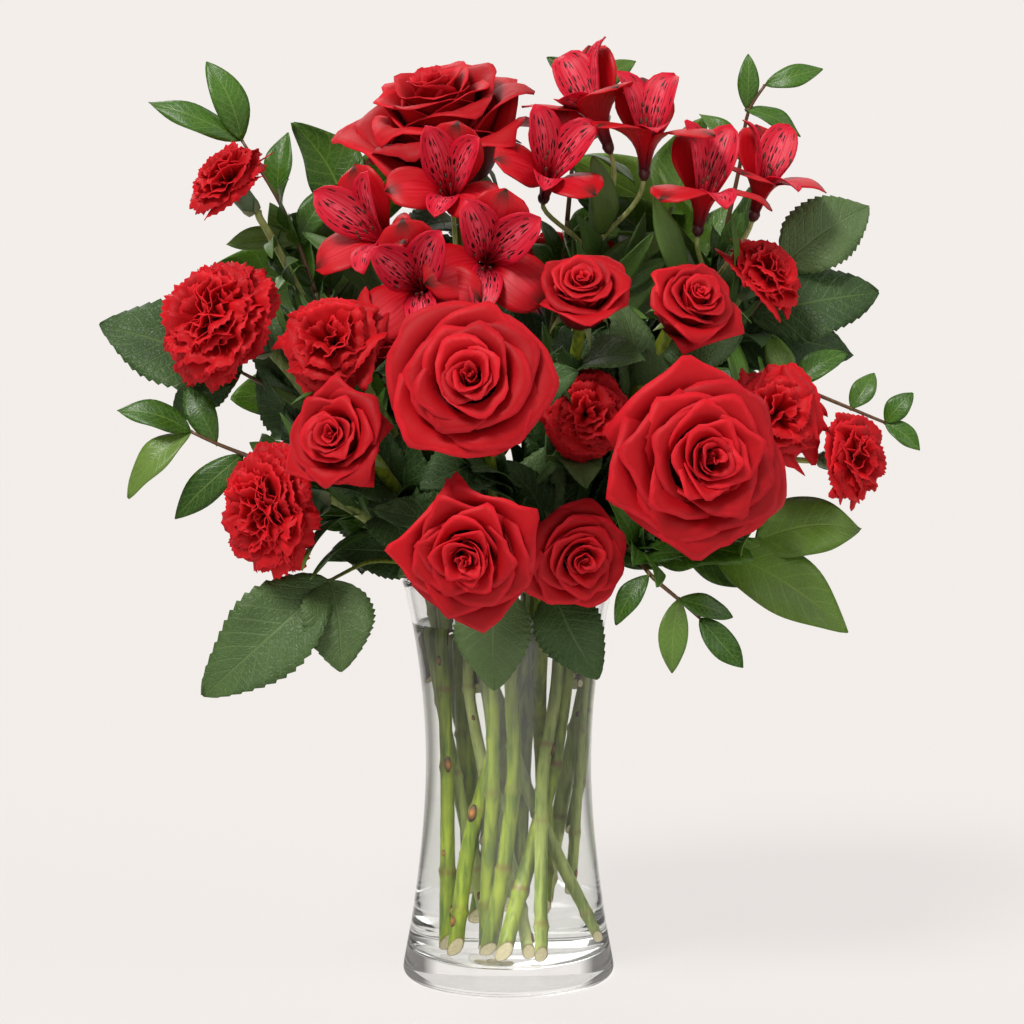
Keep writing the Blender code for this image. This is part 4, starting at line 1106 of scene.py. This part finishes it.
blade = mix_node(veined, clouds, given["Dark"], given["Light"])
tone = mix_node(veined, between(veined, mark, 0.0, 0.72), given["Dark"], given["Light"])
tone = mix_node(veined, between(veined, mark, 0.80, 1.0), tone, given["Vein"])
blade = mix_node(veined, 0.5, blade, tone)
blade = mix_node(veined, product(veined, veins, 0.55), blade, given["Vein"])
net_place = {"Vector": place, "Scale": 420}
net = add_node(veined, "TexVoronoi", net_place, "Distance", feature="DISTANCE_TO_EDGE")
mesh_vein = between(veined, net, 0.14, 0.0)
blade = mix_node(veined, product(veined, mesh_vein, 0.16), blade, given["Vein"])
veins = math_node(veined, "MAXIMUM", veins, product(veined, mesh_vein, 0.35))
height = math_node(veined, "SUBTRACT", product(veined, noise_node(veined, place, 700), 0.25), veins)
finish_skin(veined, result, blade, height, given["Relief"], 0.0007)


def leaf_material(name, dark, light, vein, roughness, **values):
    shading = {"Roughness": roughness, "Specular_IOR_Level": 0.30}
    return skin_material(name, veined, shading, Dark=dark, Light=light, Vein=vein, **values)


glossy_leaf = leaf_material(
    "glossy_leaf", (0.010, 0.045, 0.004, 1), (0.050, 0.140, 0.010, 1), (0.20, 0.30, 0.06, 1), 0.34,
    Pairs=9.0, Relief=0.2,
)
toothed_leaf = leaf_material(
    "toothed_leaf", (0.010, 0.034, 0.007, 1), (0.046, 0.100, 0.022, 1), (0.15, 0.23, 0.08, 1), 0.46,
    Pairs=10.0, Relief=0.7,
)
leathery_leaf = leaf_material(
    "leathery_leaf", (0.012, 0.048, 0.004, 1), (0.070, 0.165, 0.010, 1), (0.20, 0.32, 0.05, 1), 0.38,
    Pairs=8.0, Relief=0.35,
)
strap_green = leaf_material(
    "strap_green", (0.016, 0.050, 0.007, 1), (0.070, 0.150, 0.020, 1), (0.14, 0.22, 0.05, 1), 0.42,
    Long=13.0, Relief=0.3,
)
LEAF_FINISHES = {
    "small": glossy_leaf, "serrated": toothed_leaf, "broad": leathery_leaf, "strap": strap_green,
}
LEAF_SLOTS = {kind: f"{kind}_leaf" for kind in LEAF_FINISHES} | {"strap": "broad_leaf"}
twig_bark = stem_material(
    "twig_bark", (0.045, 0.022, 0.008, 1), (0.16, 0.13, 0.035, 1), (0.13, 0.025, 0.016, 1)
)


def place_leaves(name, bm, kind, shell=BLADE_THICKNESS):
    place_piece(name, bm, [LEAF_FINISHES[kind]], LEAF_SLOTS[kind], shell=shell)


# The alstroemeria stems: smooth pale stalks that fork into an umbel of thin pedicels, with a strap
# leaf under the florets. Each has its fork, the florets that it carries, and the leaf's base, tip
# and width.
UMBELS = {
    1: ((-22, -30, 320), (1, 2, 3, 4), (-58, -42, 336), (-100, -38, 378), 13),
    2: ((40, -16, 362), (5, 6, 7), (46, -26, 376), (42, -44, 412), 14),
    3: ((98, -20, 345), (8, 9), (86, -30, 352), (72, -50, 392), 14),
}
UMBEL_STEM_RADIUS = 3.0
PEDICEL_RADIUS = 1.2
STRAP_STALK_RADII = [1.3, 1.1, 0.9, 0.8, 0.8, 0.8, 0.8]
pale_rind = stem_material(
    "pale_rind", (0.20, 0.28, 0.04, 1), (0.56, 0.62, 0.22, 1), (0.22, 0.13, 0.04, 1)
)
for number, (fork, florets, base, tip, width) in UMBELS.items():
    name = f"alstroemeria_stem_{number}"
    rng = random.Random(500 + number)
    bm, line = start_stem(name, UMBEL_STEM_RADIUS, rng, fork, nodes_apart=40, taper=0.6)
    upward = line[-1] - line[-3]
    for floret in florets:
        branch = sweep(fork, upward, *head_axis(f"alstroemeria_{floret}")[:2])
        grow_tube(bm, branch, [PEDICEL_RADIUS] * len(branch))
    branch = sweep(fork, upward, base, Vector(tip) - Vector(base), len(STRAP_STALK_RADII) - 1)
    grow_tube(bm, branch, STRAP_STALK_RADII, 6)
    blades = bmesh.new()
    grow_leaf(blades, base, tip, width, "strap", rng)
    place_piece(f"alstroemeria_stalk_{number}", bm, [pale_rind, pith, eye_brown], "alstroemeria_stem", name)
    place_leaves(f"alstroemeria_blades_{number}", blades, "strap", STRAP_THICKNESS)

# The greens: sprays of small, toothed and broad leaves on woody twigs. Each spray has its kind, its
# stem's radius, its twig's points from the fork up, and its leaves: the point of the twig that each
# grows from, its tip and its width.
SPRAYS = {
    "huckleberry_spray_1": (
        "small", 1.7, [(-98, 4, 348), (-107, 8, 374), (-117, 10, 396), (-135, 8, 425)],
        [(3, (-152, 6, 465), 18), (3, (-181, 4, 446), 16), (2, (-113, 12, 430), 15),
         (1, (-86, 12, 404), 16), (1, (-144, 10, 374), 14)],
    ),
    "huckleberry_spray_2": (
        "small", 1.7, [(-104, -50, 258), (-130, -40, 268), (-143, -42, 273), (-155, -44, 279)],
        [(3, (-190, -48, 291), 16), (3, (-187, -48, 248), 17), (1, (-165, -38, 236), 17),
         (2, (-160, -34, 302), 15)],
    ),
    "huckleberry_spray_3": (
        "small", 1.6, [(110, 14, 376), (118, 8, 415), (120, 2, 440), (129, 0, 452)],
        [(2, (121, 2, 468), 11), (3, (158, 0, 461), 12), (2, (148, 2, 428), 12), (1, (98, 12, 440), 12)],
    ),
    "huckleberry_spray_4": (
        "small", 1.6, [(108, -14, 292), (141, -24, 302), (170, -26, 290), (187, -26, 283)],
        [(1, (168, -24, 318), 14), (2, (182, -22, 308), 12), (3, (200, -28, 298), 12),
         (3, (204, -30, 270), 11), (1, (130, -16, 328), 14)],
    ),
    "huckleberry_spray_5": (
        "small", 1.6, [(60, -72, 224), (66, -92, 213), (80, -94, 202), (90, -94, 193)],
        [(1, (50, -94, 190), 12), (2, (106, -94, 194), 12), (2, (77, -96, 167), 14),
         (3, (111, -96, 170), 14)],
    ),
    "huckleberry_spray_6": (
        "small", 1.6, [(30, 14, 385), (33, 8, 420), (38, 6, 448)],
        [(2, (20, 4, 467), 12), (2, (64, 4, 465), 13), (1, (8, 14, 438), 12), (1, (52, 18, 440), 12)],
    ),
    "serrated_leaf_spray_1": (
        "serrated", 2.0, [(108, 4, 322), (122, -4, 336), (138, -6, 362)],
        [(2, (182, 0, 393), 36), (1, (186, -8, 350), 40), (0, (178, 14, 318), 34), (1, (140, 22, 372), 30)],
    ),
    "serrated_leaf_spray_2": (
        "serrated", 2.0, [(-112, -8, 296), (-134, -12, 308)],
        [(1, (-204, -16, 334), 46), (0, (-124, 4, 350), 24), (1, (-172, 0, 284), 28)],
    ),
    "salal_spray_1": (
        "broad", 1.9, [(84, -46, 222), (102, -52, 222), (120, -52, 226)],
        [(2, (174, -42, 233), 32), (1, (166, -60, 184), 34), (0, (128, -22, 206), 32)],
    ),
    "salal_spray_2": (
        "broad", 2.2, [(-44, 62, 262), (-84, 44, 300), (-96, 40, 344), (-84, 36, 388)],
        [(1, (-146, 56, 296), 40), (2, (-152, 40, 366), 38), (3, (-110, 46, 438), 36),
         (0, (-82, 92, 222), 38), (2, (-50, 78, 380), 40), (3, (-42, 50, 424), 36),
         (0, (-10, 100, 268), 36)],
    ),
    "salal_spray_3": (
        "broad", 2.2, [(46, 62, 262), (80, 46, 300), (92, 42, 344), (84, 36, 390)],
        [(1, (148, 52, 288), 40), (2, (146, 52, 366), 38), (3, (100, 48, 440), 36), (0, (86, 86, 220), 38),
         (3, (34, 50, 420), 36), (0, (14, 96, 300), 34), (0, (30, 96, 222), 36)],
    ),
}
LEAF_SIZES = {"small": (34, 13), "serrated": (52, 30), "broad": (56, 30)}
PETIOLE = 0.55  # radius of a leaf's own stalk
TWIG_TAPER = 0.8
TWIG_END = 0.8  # radius of a twig at its end


def rounded_line(points, step=4.0):
    """Smooth line through given points."""
    fine, _ = finer(np.array(points, float), step)
    return smooth_line(fine, 4)


def grow_stalked_leaf(bm, blades, base, tip, width, kind, rng):
    """Blade on a short stalk of its own, which grows into bm."""
    base = Vector(base)
    run = (Vector(tip) - base).normalized()
    line = np.array([base + run * d for d in (-1.0, 1.5, 4.0)])
    grow_tube(bm, line, [PETIOLE * 1.3, PETIOLE, PETIOLE * 0.8], 6)
    grow_leaf(blades, base, tip, width, kind, rng)


for name, (kind, radius, twig, leaves) in SPRAYS.items():
    rng = random.Random(name)
    bm, line = start_stem(name, radius, rng, twig[0], nodes_apart=38, taper=TWIG_TAPER, sides=10)
    blades = bmesh.new()
    top = rounded_line([tuple(line[-1])] + twig[1:])
    grow_tube(bm, top, np.linspace(radius * TWIG_TAPER, TWIG_END, len(top)), mark=np.full(len(top), 0.5))
    for joint, tip, width in leaves:
        grow_stalked_leaf(bm, blades, twig[joint], tip, width, kind, rng)
    place_piece(f"{name}_twig", bm, [twig_bark, pith, eye_brown], LEAF_SLOTS[kind], name)
    place_leaves(f"{name}_leaves", blades, kind)

# Leaves on the rose stems: toothed leaflets on a thin stalk that leaves the stem near the rim and
# hangs in front of the vase. Each has the points of its stalk, and its leaflets' tips and widths.
STALK_HEIGHT = 200.0
STALK_RADII = (1.4, 0.9)  # at the stem and at the leaflets
ROSE_LEAVES = {
    6: ([(-50, -40, 215), (-68, -54, 217), (-86, -66, 208)],
        [((-149, -68, 153), 42), ((-80, -78, 166), 34)]),
    7: ([(-6, -53, 214), (-6, -70, 205)], [((-6, -84, 158), 36)]),
    8: ([(20, -51, 214), (21, -66, 204)], [((43, -80, 163), 32)]),
}
for number, (stalk, leaflets) in ROSE_LEAVES.items():
    rng = random.Random(600 + number)
    bm, blades = bmesh.new(), bmesh.new()
    line = stem_lines[f"rose_stem_{number}"]
    start = line[np.argmin(np.abs(line[:, 2] - STALK_HEIGHT))]
    route = rounded_line([tuple(start)] + stalk)
    grow_tube(bm, route, np.linspace(*STALK_RADII, len(route)), mark=np.full(len(route), 0.2))
    for tip, width in leaflets:
        grow_stalked_leaf(bm, blades, stalk[-1], tip, width, "serrated", rng)
    place_piece(f"rose_leaf_stalk_{number}", bm, [cane_rind], "rose_stem")
    place_leaves(f"rose_leaflets_{number}", blades, "serrated")

# Foliage inside the bunch: every stem keeps its own leaves above the vase, and the greens have more
# leaves lower down. They fill the dark space between the flowers and stop short of every head.
MASS_FLOOR = 216.0
MASS_HALF_WIDTH = 128.0
MASS_TOP = 405.0
MASS_FRONT, MASS_BACK = -118.0, 92.0
HEAD_CLEARANCE = 0.8  # share of a head's radius that leaves stay out of
HEAD_OPENING = 0.88  # the same for leaves straight before it
BUNCH_AXIS = 10.0  # how far back the middle of the bunch lies
TURNS_BACK = 30.0  # leaves further back than this show their upper side to the back
LEAVES_AT_JOINT = 3


def is_clear(points):
    """True where none of the points is in a head, or straight before one."""
    for centre, reach in heads:
        for point in points:
            away = point - centre
            if away.length < HEAD_CLEARANCE * reach:
                return False
            ahead = away.y * (1 if centre.y > BACK_HALF else -1)
            if ahead > 0 and math.hypot(away.x, away.z) < HEAD_OPENING * reach:
                return False
    return True


def in_mass(tip):
    """True where a leaf's tip stays inside the bunch."""
    over_vase = MASS_FRONT < tip.y < MASS_BACK and abs(tip.x) < MASS_HALF_WIDTH
    return over_vase and MASS_FLOOR - 8 < tip.z < MASS_TOP


def dress_stem(name, line, kind, seed, apart, length, width):
    """Leaves along a stem above the rim, turned outward and up, where there is room for them."""
    rng = random.Random(seed)
    blades = bmesh.new()
    fine, _ = finer(line, apart)
    for k, point in enumerate(fine[:-1]):
        if point[2] < MASS_FLOOR:
            continue
        heading = Vector(fine[k + 1] - point).normalized()
        base = Vector(point)
        outward = Vector((base.x, base.y - BUNCH_AXIS, 0)).normalized()
        front = -1 if base.y < TURNS_BACK else 1
        for _ in range(LEAVES_AT_JOINT):
            aim = heading * 0.5 + outward * 0.45 + Vector([rng.uniform(-0.75, 0.75) for _ in range(3)])
            tip = base + aim.normalized() * length * rng.uniform(0.75, 1.2)
            if in_mass(tip) and is_clear([base.lerp(tip, s) for s in (0.35, 0.7, 1.0)]):
                broad = width * rng.uniform(0.8, 1.15)
                grow_leaf(blades, base, tip, broad, kind, rng, (outward.x, front, 0.6))
    if blades.faces:
        place_leaves(f"{name}_foliage", blades, kind)
    else:
        blades.free()


# stems' numbers, their leaves' kind, distance between joints, and a leaf's length and width
DRESSINGS = {
    "rose_stem_": (ROSE_STEM_RADII, "serrated", 15, 48, 29),
    "carnation_stem_": (CARNATION_STEM_RADII, "strap", 20, 54, 7),
    "alstroemeria_stem_": (UMBELS, "strap", 10, 56, 14),
}
for prefix, (numbers, kind, apart, length, width) in DRESSINGS.items():
    for number in numbers:
        name = f"{prefix}{number}"
        dress_stem(name, stem_lines[name], kind, 700 + number, apart, length, width)
for name, (kind, _, twig, _) in SPRAYS.items():
    whole = np.vstack([stem_lines[name], rounded_line(twig, 10.0)])
    dress_stem(name, whole, kind, f"{name}_mass", 10 if kind == "small" else 12, *LEAF_SIZES[kind])
